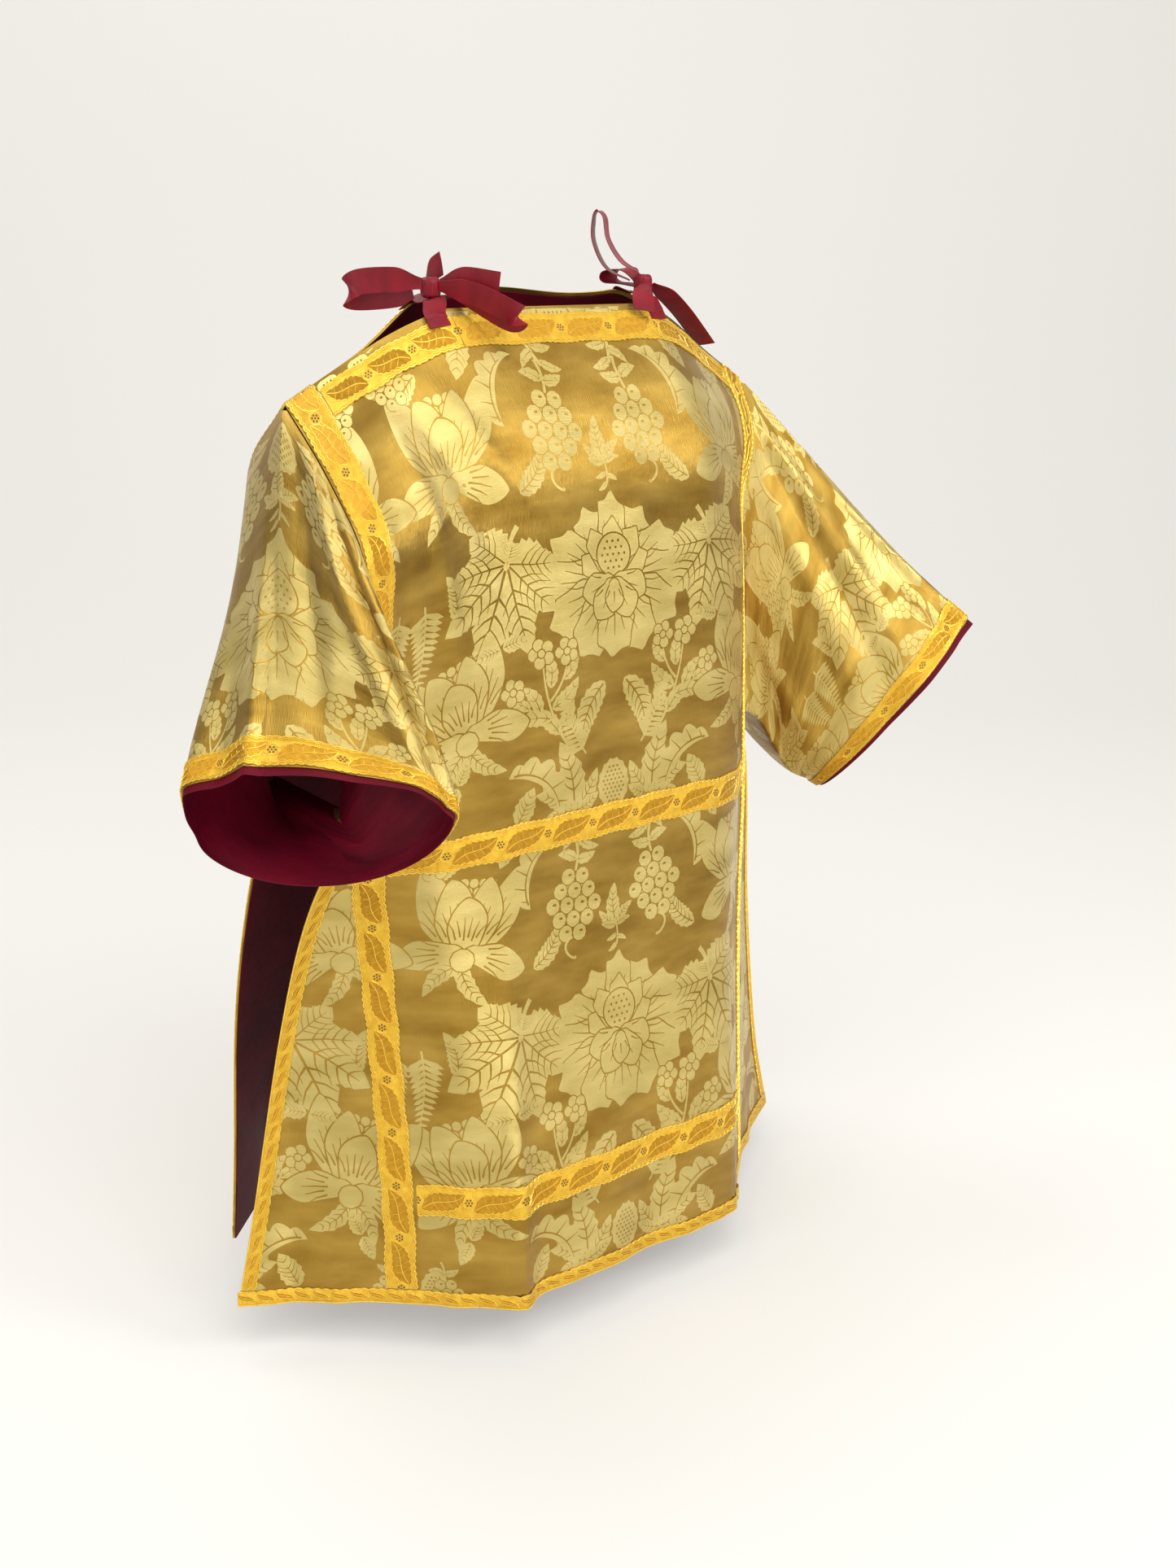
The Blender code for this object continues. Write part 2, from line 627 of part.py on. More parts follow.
def ribbon(name, line, ways, widths, material):
    """One strip of ribbon along a line, with its width facing the given ways."""
    along = unit(np.gradient(line, axis=0))
    ways = unit(ways - along * np.sum(ways * along, axis=1, keepdims=True))
    face = np.cross(along, ways)
    sheets = []
    for lift in (-0.5, 0.5):
        middle = line + face * lift * RIBBON_THICK
        half = ways * widths[:, None] / 2
        sheets.append(np.stack([middle - half, middle + half], axis=1))
    return wall(name, sheets[0], sheets[1], material)


def strand(name, bow, points, first_way, last_way, material):
    """A loop or a tail, gathered where it leaves the knot."""
    local = np.array([[bow["side"], 0, 0], [0, -1, 0], [0, 0, 1]], float)
    count = 4 * len(points) - 3
    line = ribbon_curve(points, count) @ local
    share = np.linspace(0, 1, count)[:, None]
    ways = (np.array(first_way) * (1 - share) + np.array(last_way) * share) @ local
    away = np.clip((np.linalg.norm(line, axis=1) - KNOT_SIZE[0] / 2) / GATHER_OVER, 0, 1)
    widths = RIBBON_WIDTH * (RIBBON_GATHER + (1 - RIBBON_GATHER) * smooth(away))
    return ribbon(name, line + np.array(bow["knot"]), ways, widths, material)


def facet_points(panel, shares, side, across, t, lift):
    """Points in the flat facets of the slit braid, so that what lies on it stays clear."""
    low, high = (share * panel.clavus_inner(0.0) for share in shares)
    corners = panel.point(side * np.array([[low, high], [low, high]]),
                          np.array([[0.0, 0.0], [ROWS[1], ROWS[1]]]), lift)
    x = ((across - low) / (high - low))[..., None]
    y = (t / ROWS[1])[..., None]
    top = corners[0, 0] * (1 - x) + corners[0, 1] * x
    bottom = corners[1, 0] * (1 - x) + corners[1, 1] * x
    return top * (1 - y) + bottom * y


def tie(name, bow, material):
    """The ribbon under the knot that joins the slit's front edge to its back edge."""
    side = bow["side"]
    knot_place = np.array(bow["knot"])
    half = RIBBON_WIDTH / 2
    across = np.tile([bow["across"] - half, bow["across"] + half], (len(TIE_DOWN), 1))
    down = np.repeat(np.array(TIE_DOWN)[:, None], 2, axis=1)
    sheets = []
    for lift in (TIE_LIFT, TIE_LIFT + RIBBON_THICK):
        front = facet_points(FRONT, FRONT_SHARES[3:5], side, across, down, lift)
        back = facet_points(BACK, BACK_SHARES[3:5], side, across + BACK_CORNER - NECK_HALF,
                            down, lift)
        under = knot_place[2] - KNOT_SIZE[2] / 2 - RIBBON_THICK - GAP + lift - TIE_LIFT
        middle = np.array([[[knot_place[0] + side * x, knot_place[1] + y, under]
                            for x in (-half, half)] for y in TIE_UNDER_KNOT])
        sheets.append(np.concatenate([front, middle, back[::-1]]))
    return wall(name, sheets[0], sheets[1], material)


def knot(name, bow, material):
    """The knot: a small rounded block that all strands come out of."""
    bpy.ops.mesh.primitive_cube_add(size=1.0)
    piece = bpy.context.object
    piece.name = name
    piece.data.name = name
    for vertex in piece.data.vertices:
        vertex.co = [place * size for place, size in zip(vertex.co, KNOT_SIZE)]
    bevel = piece.modifiers.new("Rounded edges", "BEVEL")
    bevel.width = KNOT_ROUND
    bevel.segments = 3
    piece.data.materials.append(material)
    piece.location = bow["knot"]
    return piece


def clear_scene():
    for piece in list(bpy.data.objects):
        bpy.data.objects.remove(piece)


def build():
    clear_scene()
    damask = new_material("damask_gold", DAMASK, 0.38)
    crimson = new_material("lining_crimson", CRIMSON, 0.55)
    wide = new_material("braid_wide", BRAID, 0.45)
    narrow = new_material("braid_narrow", BRAID, 0.45)
    satin = new_material("ribbon_crimson", RIBBON, 0.40)

    for word, panel, shares in (("front", FRONT, FRONT_SHARES), ("back", BACK, BACK_SHARES)):
        panel_wall(word + "_panel", panel, shares, CLOTH_LOW, CLOTH_HIGH, damask)
        panel_wall("lining_" + word, panel, shares, LINING_LOW, LINING_HIGH, crimson,
                   top=LINING_SETBACK, side_setback=LINING_SETBACK)
        corner = 3
        end = len(shares) - 1
        top_band("braid_neck_" + word, panel, shares, 0, corner, 0, wide)
        for side_word, side in (("right", -1), ("left", 1)):
            top_band("braid_slit_" + word + "_" + side_word, panel, shares, corner, end, side, wide)
            side_braid("braid_side_" + word + "_" + side_word, panel, side, narrow)
        band("band_mid_" + word, panel, shares, BAND_MID, wide)
        band("band_low_" + word, panel, shares, BAND_LOW, wide)
        hem_braid("braid_hem_" + word, panel, shares, narrow)

    for word, side in (("right", -1), ("left", 1)):
        clavus("clavus_" + word, side, wide)
        sleeve = Sleeve(SLEEVES[word])
        cloth_rows = SLEEVE_ROWS[:-1]
        lining_rows = SLEEVE_ROWS[1:]
        braid_rows = (SLEEVE_BRAID_TOP, SLEEVE_CLOTH_END)
        sleeve_wall("sleeve_" + word, sleeve, cloth_rows, CLOTH_LOW, CLOTH_HIGH, damask)
        sleeve_wall("lining_sleeve_" + word, sleeve, lining_rows, LINING_LOW, LINING_HIGH, crimson)
        sleeve_wall("braid_sleeve_" + word, sleeve, braid_rows, BRAID_LOW, BRAID_HIGH, wide)
        bow = BOWS[word]
        start = "bow_" + word + "_"
        knot(start + "knot", bow, satin)
        tie(start + "tie", bow, satin)
        for strand_word, points, first_way, last_way in bow["strands"]:
            strand(start + strand_word, bow, points, first_way, last_way, satin)


build()
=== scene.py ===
"""A gold damask dalmatic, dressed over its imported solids.

Metres, +Z up. The wearer faces -Y, and the wearer's right is at -X. Cloth is measured along
itself: u runs across a panel from its middle, and t is the share of the way down to the hem.
"""
import math

import bpy
import numpy as np
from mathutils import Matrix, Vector
from mathutils.geometry import delaunay_2d_cdt


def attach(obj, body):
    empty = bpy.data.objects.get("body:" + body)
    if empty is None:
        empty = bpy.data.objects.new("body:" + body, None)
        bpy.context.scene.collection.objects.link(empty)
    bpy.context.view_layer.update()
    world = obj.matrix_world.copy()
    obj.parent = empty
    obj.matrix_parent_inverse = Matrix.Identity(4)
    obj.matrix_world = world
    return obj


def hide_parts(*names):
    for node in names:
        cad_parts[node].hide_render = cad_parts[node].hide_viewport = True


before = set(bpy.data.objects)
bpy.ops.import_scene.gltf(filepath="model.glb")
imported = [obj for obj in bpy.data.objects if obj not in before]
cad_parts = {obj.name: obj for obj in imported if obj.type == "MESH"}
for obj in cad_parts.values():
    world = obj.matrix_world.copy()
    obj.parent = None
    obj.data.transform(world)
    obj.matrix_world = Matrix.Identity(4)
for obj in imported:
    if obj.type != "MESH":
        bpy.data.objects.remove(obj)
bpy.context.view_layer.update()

# Cut of the body
LENGTH = 1.080
NECK_HALF = 0.133
SLIT_END = 0.300
SHOULDER_DROP = 0.070
CLAVUS_WIDTH = 0.040
CLAVUS_HEM = 0.287
GORE_START = 0.497
GORE_CURVE = 0.65
FRONT_HEM_HALF = 0.472
BACK_HEM_HALF = 0.445
UNDERARM = 0.45
LEVEL_OUT = 3.0
NAPE_RISE = 0.018
NAPE_TURN = 60.0
NAPE_ROUND = 0.018
SLIT_ARCH = 0.016
ARCH_OUT = 0.020
ARCH_WIDTH = 0.070
SLOPE_POWER = 1.15
BACK_CORNER = 0.148
BACK_EXTRA = 0.024
RIDGE_GAP = 0.0016
MEET_FADE = 0.14

# Braids laid on the cloth
WIDE_BRAID = 0.040
NARROW_BRAID = 0.018
BAND_MID = 0.497
BAND_LOW = 0.866

# Walls, as distances out from the middle surface
GAP = 0.0003
CLOTH_LOW, CLOTH_HIGH = -0.0007, 0.0007
LINING_LOW, LINING_HIGH = -0.0020, -0.0010
BRAID_LOW, BRAID_HIGH = 0.0010, 0.0020
SEAM_GAP = 0.0014
LINING_SETBACK = 0.0040

# Hanging shape, level by level. depth is where the middle of the panel stands, shift moves it
# sideways, and beyond the flat middle the cloth bends over the bend length by the turns.
FRONT_SECTIONS = (
    # down, depth, shift, flat, bend, turn_right, turn_left, relax
    (0.00, -0.088, -0.006, 0.110, 0.060, 8, 10, 0),
    (0.08, -0.142, 0.000, 0.120, 0.120, -4, 26, 0),
    (0.17, -0.180, 0.000, 0.120, 0.120, -14, 42, 0),
    (0.29, -0.194, 0.000, 0.120, 0.130, -2, 46, 0),
    (0.45, -0.196, -0.002, 0.125, 0.120, 20, 44, 0),
    (0.55, -0.200, -0.004, 0.125, 0.110, 30, 42, 0),
    (0.70, -0.222, -0.014, 0.125, 0.090, 42, 43, 4),
    (0.89, -0.256, -0.030, 0.130, 0.070, 44, 44, 8),
    (1.00, -0.266, -0.036, 0.135, 0.060, 43, 43, 12),
)
BACK_SECTIONS = (
    # down, depth, shift, flat, bend, turn_right, turn_left, relax
    (0.00, 0.030, 0.000, 0.100, 0.100, 0, 0, 0),
    (0.08, 0.078, 0.000, 0.080, 0.160, 24, 24, 0),
    (0.17, 0.108, 0.000, 0.080, 0.180, 32, 28, 0),
    (0.29, 0.124, 0.000, 0.080, 0.200, 40, 36, 0),
    (0.45, 0.136, 0.000, 0.080, 0.200, 42, 40, 0),
    (0.55, 0.150, 0.000, 0.080, 0.200, 38, 38, 0),
    (0.70, 0.176, 0.000, 0.080, 0.200, 37, 36, 0),
    (0.89, 0.222, 0.000, 0.080, 0.200, 42, 40, 0),
    (1.00, 0.246, 0.000, 0.080, 0.200, 44, 42, 0),
)
RELAX_FROM = 0.30
RELAX_OVER = 0.12
GRID_HALF = 0.60
GRID_COUNT = 1201

# Largest soft folds: a ridge where height is positive, a trough where it is negative
FRONT_FOLDS = (
    # across_top, across_low, top, low, width, height
    (-0.150, -0.158, 0.60, 1.30, 0.022, 0.009),
    (-0.235, -0.215, 0.30, 0.85, 0.030, 0.006),
    (0.165, 0.175, 0.62, 1.30, 0.020, 0.008),
    (0.060, 0.020, 0.70, 1.20, 0.040, -0.006),
    (-0.060, -0.070, 0.05, 0.55, 0.045, 0.004),
)
BACK_FOLDS = (
    # across_top, across_low, top, low, width, height
    (-0.160, -0.180, 0.35, 1.30, 0.035, 0.010),
    (0.150, 0.190, 0.35, 1.30, 0.035, 0.010),
    (0.000, 0.010, 0.25, 1.30, 0.040, -0.008),
)
FOLD_POWER = 0.8
FOLD_FADE = 1.6

# Sleeves: near and far are the two ends of the hem's flattened ring, sag the way it hangs open,
# start the angle where the pressed shoulder crease meets the hem, and leave and arrive the ways
# the cloth runs out of the armhole and into the hem.
SLEEVES = {
    "right": dict(side=-1, near=(-0.302, -0.350, -0.440), far=(-0.490, -0.158, -0.424),
                  sag=(0.000, 0.058, -0.081), sink=0.045, rise=0.056, hang=0.115, start=117.0,
                  leave=(-0.45, -0.62, -0.64), leave_front=(0.10, -0.90, -0.42),
                  leave_under=(-0.93, -0.34, -0.05), arrive=(-0.45, -0.55, -0.70), slack=0.0),
    "left": dict(side=1, near=(0.533, -0.250, -0.392), far=(0.405, -0.120, -0.612),
                 sag=(0.700, 0.710, 0.040), sink=0.0, rise=0.070, hang=0.070, start=0.0,
                 leave=(0.62, -0.35, -0.70), leave_front=(0.40, -0.60, -0.70),
                 leave_under=(0.97, -0.20, 0.15), arrive=(0.62, -0.48, -0.62), slack=0.035),
}
ARMHOLE_SHARE = 0.46
FRONT_OF_ARM, FRONT_SPREAD = 0.27, 0.12
UNDER_ARM, UNDER_SPREAD, DROOP_SPREAD = 0.50, 0.085, 0.14
SLEEVE_BRAID_TOP = 0.885
SLEEVE_CLOTH_END = 0.977

# Ribbon bows, one on each shoulder. Each strand is a run of points out from the knot towards
# its side, forward and up, with the ways its width faces at the start and at the end.
RIBBON_WIDTH = 0.026
RIBBON_THICK = 0.0010
RIBBON_GATHER = 0.45
GATHER_OVER = 0.028
KNOT_SIZE = (0.021, 0.016, 0.022)
TIE_LIFT = 0.0032
TIE_DOWN = (0.014, 0.006, 0.0)
BOWS = {
    "right": dict(side=-1, across=0.150, knot=(-0.150, -0.073, 0.021), strands=(
        ("loop_out", ((0.0118, 0.002, 0.004), (0.035, -0.018, 0.008), (0.060, -0.042, 0.006),
                      (0.067, -0.052, -0.002), (0.060, -0.057, -0.010), (0.036, -0.036, -0.009),
                      (0.0135, -0.013, -0.004)), (0.1, 0.1, 1.0), (-0.1, 0.2, 1.0)),
        ("loop_front", ((-0.004, 0.0108, 0.002), (-0.030, 0.044, -0.008), (-0.056, 0.066, -0.024),
                        (-0.063, 0.067, -0.030), (-0.059, 0.059, -0.033), (-0.036, 0.040, -0.017),
                        (-0.0145, 0.0145, 0.002)), (0.3, 0.1, 0.9), (0.4, 0.3, 0.8)),
        ("tail_front", ((-0.0119, 0.002, 0.003), (-0.030, 0.018, 0.008), (-0.058, 0.043, 0.003)),
         (0.0, 0.1, 1.0), (0.0, 0.1, 1.0)),
        ("tail_back", ((-0.002, -0.0105, 0.004), (-0.016, -0.022, 0.016), (-0.034, -0.030, 0.024)),
         (0.3, 0.3, 1.0), (0.5, 0.3, 0.9)),
    )),
    "left": dict(side=1, across=0.146, knot=(0.138, -0.073, 0.021), strands=(
        ("loop_up", ((-0.004, -0.002, 0.0130), (-0.024, -0.010, 0.026), (-0.034, -0.020, 0.048),
                     (-0.032, -0.030, 0.072), (-0.036, -0.037, 0.079), (-0.041, -0.038, 0.070),
                     (-0.044, -0.034, 0.046), (-0.034, -0.024, 0.018), (-0.013, -0.008, 0.004)),
         (0.72, -0.66, 0.1), (0.72, -0.66, 0.0)),
        ("loop_back", ((0.000, -0.0093, 0.003), (0.002, -0.030, 0.016), (0.004, -0.062, 0.014),
                       (0.004, -0.068, 0.006), (0.003, -0.058, 0.001), (0.000, -0.032, 0.000),
                       (0.000, -0.0110, -0.003)), (1.0, 0.0, 0.1), (1.0, 0.0, 0.0)),
        ("tail_out", ((0.0114, 0.000, -0.001), (0.034, 0.000, -0.012), (0.064, -0.006, -0.032),
                      (0.090, -0.013, -0.052), (0.114, -0.020, -0.071)),
         (0.0, 1.0, 0.5), (0.1, 1.0, 0.35)),
        ("tail_front", ((-0.006, 0.0100, 0.000), (-0.018, 0.022, -0.008), (-0.026, 0.034, -0.028)),
         (0.9, 0.3, 0.2), (1.0, 0.2, 0.0)),
    )),
}


def smooth(x):
    x = np.clip(x, 0.0, 1.0)
    return x * x * (3.0 - 2.0 * x)


def unit(vector):
    vector = np.asarray(vector, float)
    return vector / np.linalg.norm(vector, axis=-1, keepdims=True)


def slit_slope(a, corner):
    """Height lost along a shoulder slit, from the neck's corner outwards."""
    run = SLIT_END - NECK_HALF
    return -SHOULDER_DROP * np.clip((a - corner) / run, 0.0, None) ** SLOPE_POWER


def front_edge_height(u):
    return slit_slope(np.abs(u), NECK_HALF)


def back_edge_height(u):
    a = np.abs(u)
    nape = NAPE_RISE * (1.0 - smooth(a / BACK_CORNER))
    arch = SLIT_ARCH * np.exp(-((a - BACK_CORNER - ARCH_OUT) / ARCH_WIDTH) ** 2)
    return nape + arch + slit_slope(a, BACK_CORNER)


def blend_weights(s):
    """Cubic weights of a start, its direction, an end and its direction."""
    return (2 * s ** 3 - 3 * s ** 2 + 1, s ** 3 - 2 * s ** 2 + s,
            -2 * s ** 3 + 3 * s ** 2, s ** 3 - s ** 2)


class Panel:
    """The front or the back: its middle surface as a smooth function of u and t."""

    def __init__(self, sections, folds, outward, edge_height, corner, extra):
        self.folds = folds
        self.outward = outward
        self.edge_height = edge_height
        self.corner = corner
        self.extra = extra
        self.other = None
        self.grid = np.linspace(-GRID_HALF, GRID_HALF, GRID_COUNT)
        self.down = np.array([row[0] for row in sections])
        self.x_rows = []
        self.y_rows = []
        for section in sections:
            self.add_section(*section)
        self.x_rows = np.array(self.x_rows)
        self.y_rows = np.array(self.y_rows)

    def add_section(self, down, depth, shift, flat, bend, turn_right, turn_left, relax):
        """One level's outline, walked out from the middle along the cloth."""
        a = np.abs(self.grid)
        turn = np.where(self.grid < 0, turn_right, turn_left)
        heading = turn * smooth((a - flat) / bend) - relax * smooth((a - RELAX_FROM) / RELAX_OVER)
        if self.outward > 0 and down == 0.0:
            leave = 1.0 - smooth((a - self.corner + NAPE_ROUND) / (2 * NAPE_ROUND))
            heading = NAPE_TURN * np.clip(a / self.corner, 0, 1) * leave
        heading = np.radians(heading)
        slope = np.gradient(self.edge_height(self.grid), self.grid) * (1.0 - down) ** LEVEL_OUT
        level = np.sqrt(np.clip(1.0 - slope ** 2, 0.2, 1.0))
        self.x_rows.append(shift + self.walk(np.cos(heading) * level))
        across = self.walk(np.sin(heading) * np.sign(self.grid) * level)
        self.y_rows.append(depth - self.outward * across)

    def walk(self, steps):
        width = self.grid[1] - self.grid[0]
        total = np.concatenate([[0.0], np.cumsum((steps[1:] + steps[:-1]) * 0.5 * width)])
        return total - np.interp(0.0, self.grid, total)

    def between_rows(self, table, u, t):
        """A smooth curve down through the section outlines."""
        down = self.down
        last = len(down) - 1
        k = np.clip(np.searchsorted(down, t, side="right") - 1, 0, last - 1)
        place = (u - self.grid[0]) / (self.grid[1] - self.grid[0])
        i = np.clip(place.astype(int), 0, len(self.grid) - 2)
        w = place - i

        def value(row):
            return table[row, i] * (1 - w) + table[row, i + 1] * w

        def slope(row):
            above = np.clip(row - 1, 0, last)
            below = np.clip(row + 1, 0, last)
            return (value(below) - value(above)) / (down[below] - down[above])

        span = down[k + 1] - down[k]
        start, start_way, end, end_way = blend_weights((t - down[k]) / span)
        return (start * value(k) + start_way * span * slope(k)
                + end * value(k + 1) + end_way * span * slope(k + 1))

    def hang(self, u, t):
        u, t = np.broadcast_arrays(np.asarray(u, float), np.asarray(t, float))
        x = self.between_rows(self.x_rows, u, t)
        y = self.between_rows(self.y_rows, u, t)
        z = -LENGTH * t + self.edge_height(u) * np.clip(1.0 - t, 0, 1) ** LEVEL_OUT
        return np.stack([x, y, z], -1)

    def joined(self, u, t):
        """The hanging surface, drawn to the other panel where the shoulders are sewn."""
        base = self.hang(u, t)
        a = np.abs(u)
        top = np.zeros(base.shape[:-1])
        here = self.hang(u, top)
        there = self.other.hang(np.sign(u) * (a + self.other.extra - self.extra), top)
        apart = there - here
        far = np.linalg.norm(apart, axis=-1, keepdims=True)
        share = 0.5 * (1.0 - RIDGE_GAP / np.maximum(far, RIDGE_GAP))
        outer = smooth((a - self.corner) / (SLIT_END + self.extra - self.corner))
        fade = smooth(1.0 - np.abs(t) / MEET_FADE)
        return base + apart * share * (outer * fade)[..., None]

    def fold_height(self, u, t):
        height_here = np.zeros(np.shape(t))
        for across_top, across_low, top, low, width, height in self.folds:
            share = np.clip((t - top) / (low - top), 0.0, 1.0)
            middle = across_top + (across_low - across_top) * share
            if low <= 1.0:
                strength = np.sin(math.pi * share) ** FOLD_POWER
            else:
                strength = smooth(share * FOLD_FADE)
            height_here = height_here + height * strength * np.exp(-((u - middle) / width) ** 2)
        return height_here

    def normal(self, surface, u, t, step=1e-3):
        across = surface(u + step, t) - surface(u - step, t)
        down = surface(u, t + step) - surface(u, t - step)
        return unit(np.cross(across, down) * self.outward)

    def folded(self, u, t):
        return self.joined(u, t) + (self.normal(self.joined, u, t)
                                    * self.fold_height(u, t)[..., None])

    def point(self, u, t, lift=0.0):
        """The cloth at u and t, moved out by lift."""
        u, t = np.broadcast_arrays(np.asarray(u, float), np.asarray(t, float))
        return self.folded(u, t) + self.normal(self.folded, u, t) * lift

    def clavus_middle(self, t):
        top = SLIT_END + CLAVUS_WIDTH / 2
        return self.extra + top + (CLAVUS_HEM - top) * smooth(np.asarray(t, float))

    def clavus_inner(self, t):
        return self.clavus_middle(t) - CLAVUS_WIDTH / 2

    def seam(self, t):
        """From the middle to the sleeve seam, which is the outer edge of the clavus."""
        return self.clavus_middle(t) + CLAVUS_WIDTH / 2

    def side_edge(self, t):
        """From the middle to the free side edge, which curves out below the underarm."""
        hem = FRONT_HEM_HALF if self.outward < 0 else BACK_HEM_HALF
        share = np.clip((np.asarray(t, float) - GORE_START) / (1.0 - GORE_START), 0, 1)
        return self.seam(t) + (hem - self.seam(1.0)) * share ** GORE_CURVE


FRONT = Panel(FRONT_SECTIONS, FRONT_FOLDS, -1, front_edge_height, NECK_HALF, 0.0)
BACK = Panel(BACK_SECTIONS, BACK_FOLDS, 1, back_edge_height, BACK_CORNER, BACK_EXTRA)
FRONT.other = BACK
BACK.other = FRONT


class Sleeve:
    """A sleeve as a tube: f runs once round it from the shoulder crease, s from seam to hem."""

    def __init__(self, shape):
        self.shape = shape

    def root(self, f):
        """The armhole: down the front seam, under the arm and up the back seam."""
        side = self.shape["side"]
        front_t = UNDERARM * np.clip(f / ARMHOLE_SHARE, 0, 1)
        back_t = UNDERARM * np.clip((1.0 - f) / ARMHOLE_SHARE, 0, 1)
        front = FRONT.point(side * (FRONT.seam(front_t) + SEAM_GAP), front_t)
        back = BACK.point(side * (BACK.seam(back_t) + SEAM_GAP), back_t)
        under = smooth((f - ARMHOLE_SHARE) / (1.0 - 2 * ARMHOLE_SHARE))[..., None]
        return front * (1 - under) + back * under

    def rim(self, f):
        """The hem: a flattened ring that hangs open on its lower side."""
        shape = self.shape
        near = np.array(shape["near"])
        far = np.array(shape["far"])
        sag = unit(shape["sag"])
        angle = np.radians(shape["start"] + shape["side"] * 360.0 * f)
        depth = np.where(np.sin(angle) > 0, shape["rise"], shape["hang"])
        return ((near + far) / 2 + sag * shape["sink"]
                + (near - far) / 2 * np.cos(angle)[..., None]
                - sag * (depth * np.sin(angle))[..., None])

    def middle_line(self, f, s):
        f, s = np.broadcast_arrays(np.asarray(f, float) % 1.0, np.asarray(s, float))
        shape = self.shape
        root = self.root(f)
        rim = self.rim(f)
        forward = np.exp(-((f - FRONT_OF_ARM) / FRONT_SPREAD) ** 2)[..., None]
        under = np.exp(-((f - UNDER_ARM) / UNDER_SPREAD) ** 2)[..., None]
        leave = np.array(shape["leave"]) * (1 - forward) + np.array(shape["leave_front"]) * forward
        leave = unit(leave * (1 - under) + np.array(shape["leave_under"]) * under)
        arrive = unit(shape["arrive"])
        reach = np.linalg.norm(rim - root, axis=-1, keepdims=True)
        start, start_way, end, end_way = blend_weights(s[..., None])
        droop = shape["slack"] * np.exp(-((f - UNDER_ARM) / DROOP_SPREAD) ** 2) * np.sin(math.pi * s) ** 2
        line = start * root + start_way * leave * reach + end * rim + end_way * arrive * reach
        return line + droop[..., None] * np.array([0.0, 0.0, -1.0])

# Finer creases than the solids have, by the same columns as the folds
FRONT_CREASES = (
    # across_top, across_low, top, low, width, height
    (-0.262, -0.200, 0.02, 0.34, 0.012, 0.0050),
    (-0.238, -0.130, 0.02, 0.28, 0.013, -0.0040),
    (-0.215, -0.080, 0.01, 0.24, 0.014, 0.0035),
    (-0.285, -0.262, 0.10, 0.50, 0.009, -0.0035),
    (0.255, 0.205, 0.02, 0.40, 0.012, 0.0045),
    (0.225, 0.150, 0.02, 0.30, 0.014, -0.0035),
    (0.020, 0.060, 0.06, 0.40, 0.030, 0.0025),
    (-0.151, -0.152, 0.56, 1.30, 0.0100, 0.0066),
    (-0.118, -0.116, 0.60, 1.30, 0.022, -0.0040),
    (-0.205, -0.240, 0.66, 1.30, 0.018, 0.0040),
    (0.090, 0.105, 0.66, 1.30, 0.020, 0.0030),
    (0.196, 0.208, 0.55, 1.30, 0.009, 0.0050),
    (0.158, 0.166, 0.58, 1.30, 0.012, -0.0052),
    (-0.020, 0.000, 0.60, 1.25, 0.024, 0.0025),
    (-0.335, -0.380, 0.62, 1.30, 0.020, 0.0050),
    (-0.390, -0.430, 0.66, 1.30, 0.014, -0.0035),
    (0.320, 0.380, 0.60, 1.30, 0.022, 0.0050),
)
BACK_CREASES = (
    # across_top, across_low, top, low, width, height
    (-0.240, -0.160, 0.03, 0.36, 0.014, 0.0045),
    (-0.205, -0.120, 0.03, 0.30, 0.014, -0.0035),
    (0.230, 0.170, 0.03, 0.40, 0.014, 0.0045),
    (-0.090, -0.110, 0.30, 1.30, 0.018, 0.0040),
    (-0.055, -0.060, 0.45, 1.30, 0.012, -0.0035),
    (0.080, 0.095, 0.34, 1.30, 0.020, 0.0040),
    (0.215, 0.240, 0.55, 1.30, 0.010, 0.0035),
    (-0.300, -0.350, 0.60, 1.30, 0.020, 0.0050),
    (0.310, 0.360, 0.58, 1.30, 0.020, 0.0050),
)
SLEEVE_CREASES = {
    # round_top, round_low, from, to, width, height
    "right": ((-0.020, -0.032, 0.06, 1.30, 0.013, 0.0075), (-0.055, -0.085, 0.10, 1.30, 0.030, -0.0070),
              (0.026, 0.060, 0.03, 0.95, 0.016, -0.0060), (0.050, 0.200, 0.02, 0.90, 0.017, 0.0085),
              (0.075, 0.250, 0.02, 0.95, 0.014, -0.0065), (0.105, 0.300, 0.02, 1.00, 0.020, 0.0070),
              (0.090, 0.100, 0.45, 1.30, 0.030, -0.0045), (0.170, 0.180, 0.50, 1.30, 0.025, 0.0045),
              (0.235, 0.255, 0.55, 1.30, 0.022, -0.0035), (-0.120, -0.160, 0.10, 1.20, 0.028, 0.0060),
              (-0.200, -0.250, 0.10, 1.20, 0.030, -0.0050), (0.330, 0.370, 0.10, 0.90, 0.020, 0.0045)),
    "left": ((0.022, 0.030, 0.06, 1.30, 0.014, 0.0060), (0.060, 0.080, 0.10, 1.30, 0.030, -0.0050),
             (0.050, 0.190, 0.03, 0.90, 0.018, 0.0065), (0.085, 0.240, 0.03, 0.95, 0.016, -0.0055),
             (0.130, 0.290, 0.03, 1.00, 0.022, 0.0055), (0.170, 0.180, 0.55, 1.30, 0.030, 0.0040),
             (0.250, 0.260, 0.60, 1.30, 0.025, -0.0035), (-0.080, -0.110, 0.05, 1.20, 0.026, 0.0050),
             (-0.180, -0.230, 0.12, 1.20, 0.030, -0.0050), (0.340, 0.370, 0.10, 0.90, 0.020, 0.0040)),
}

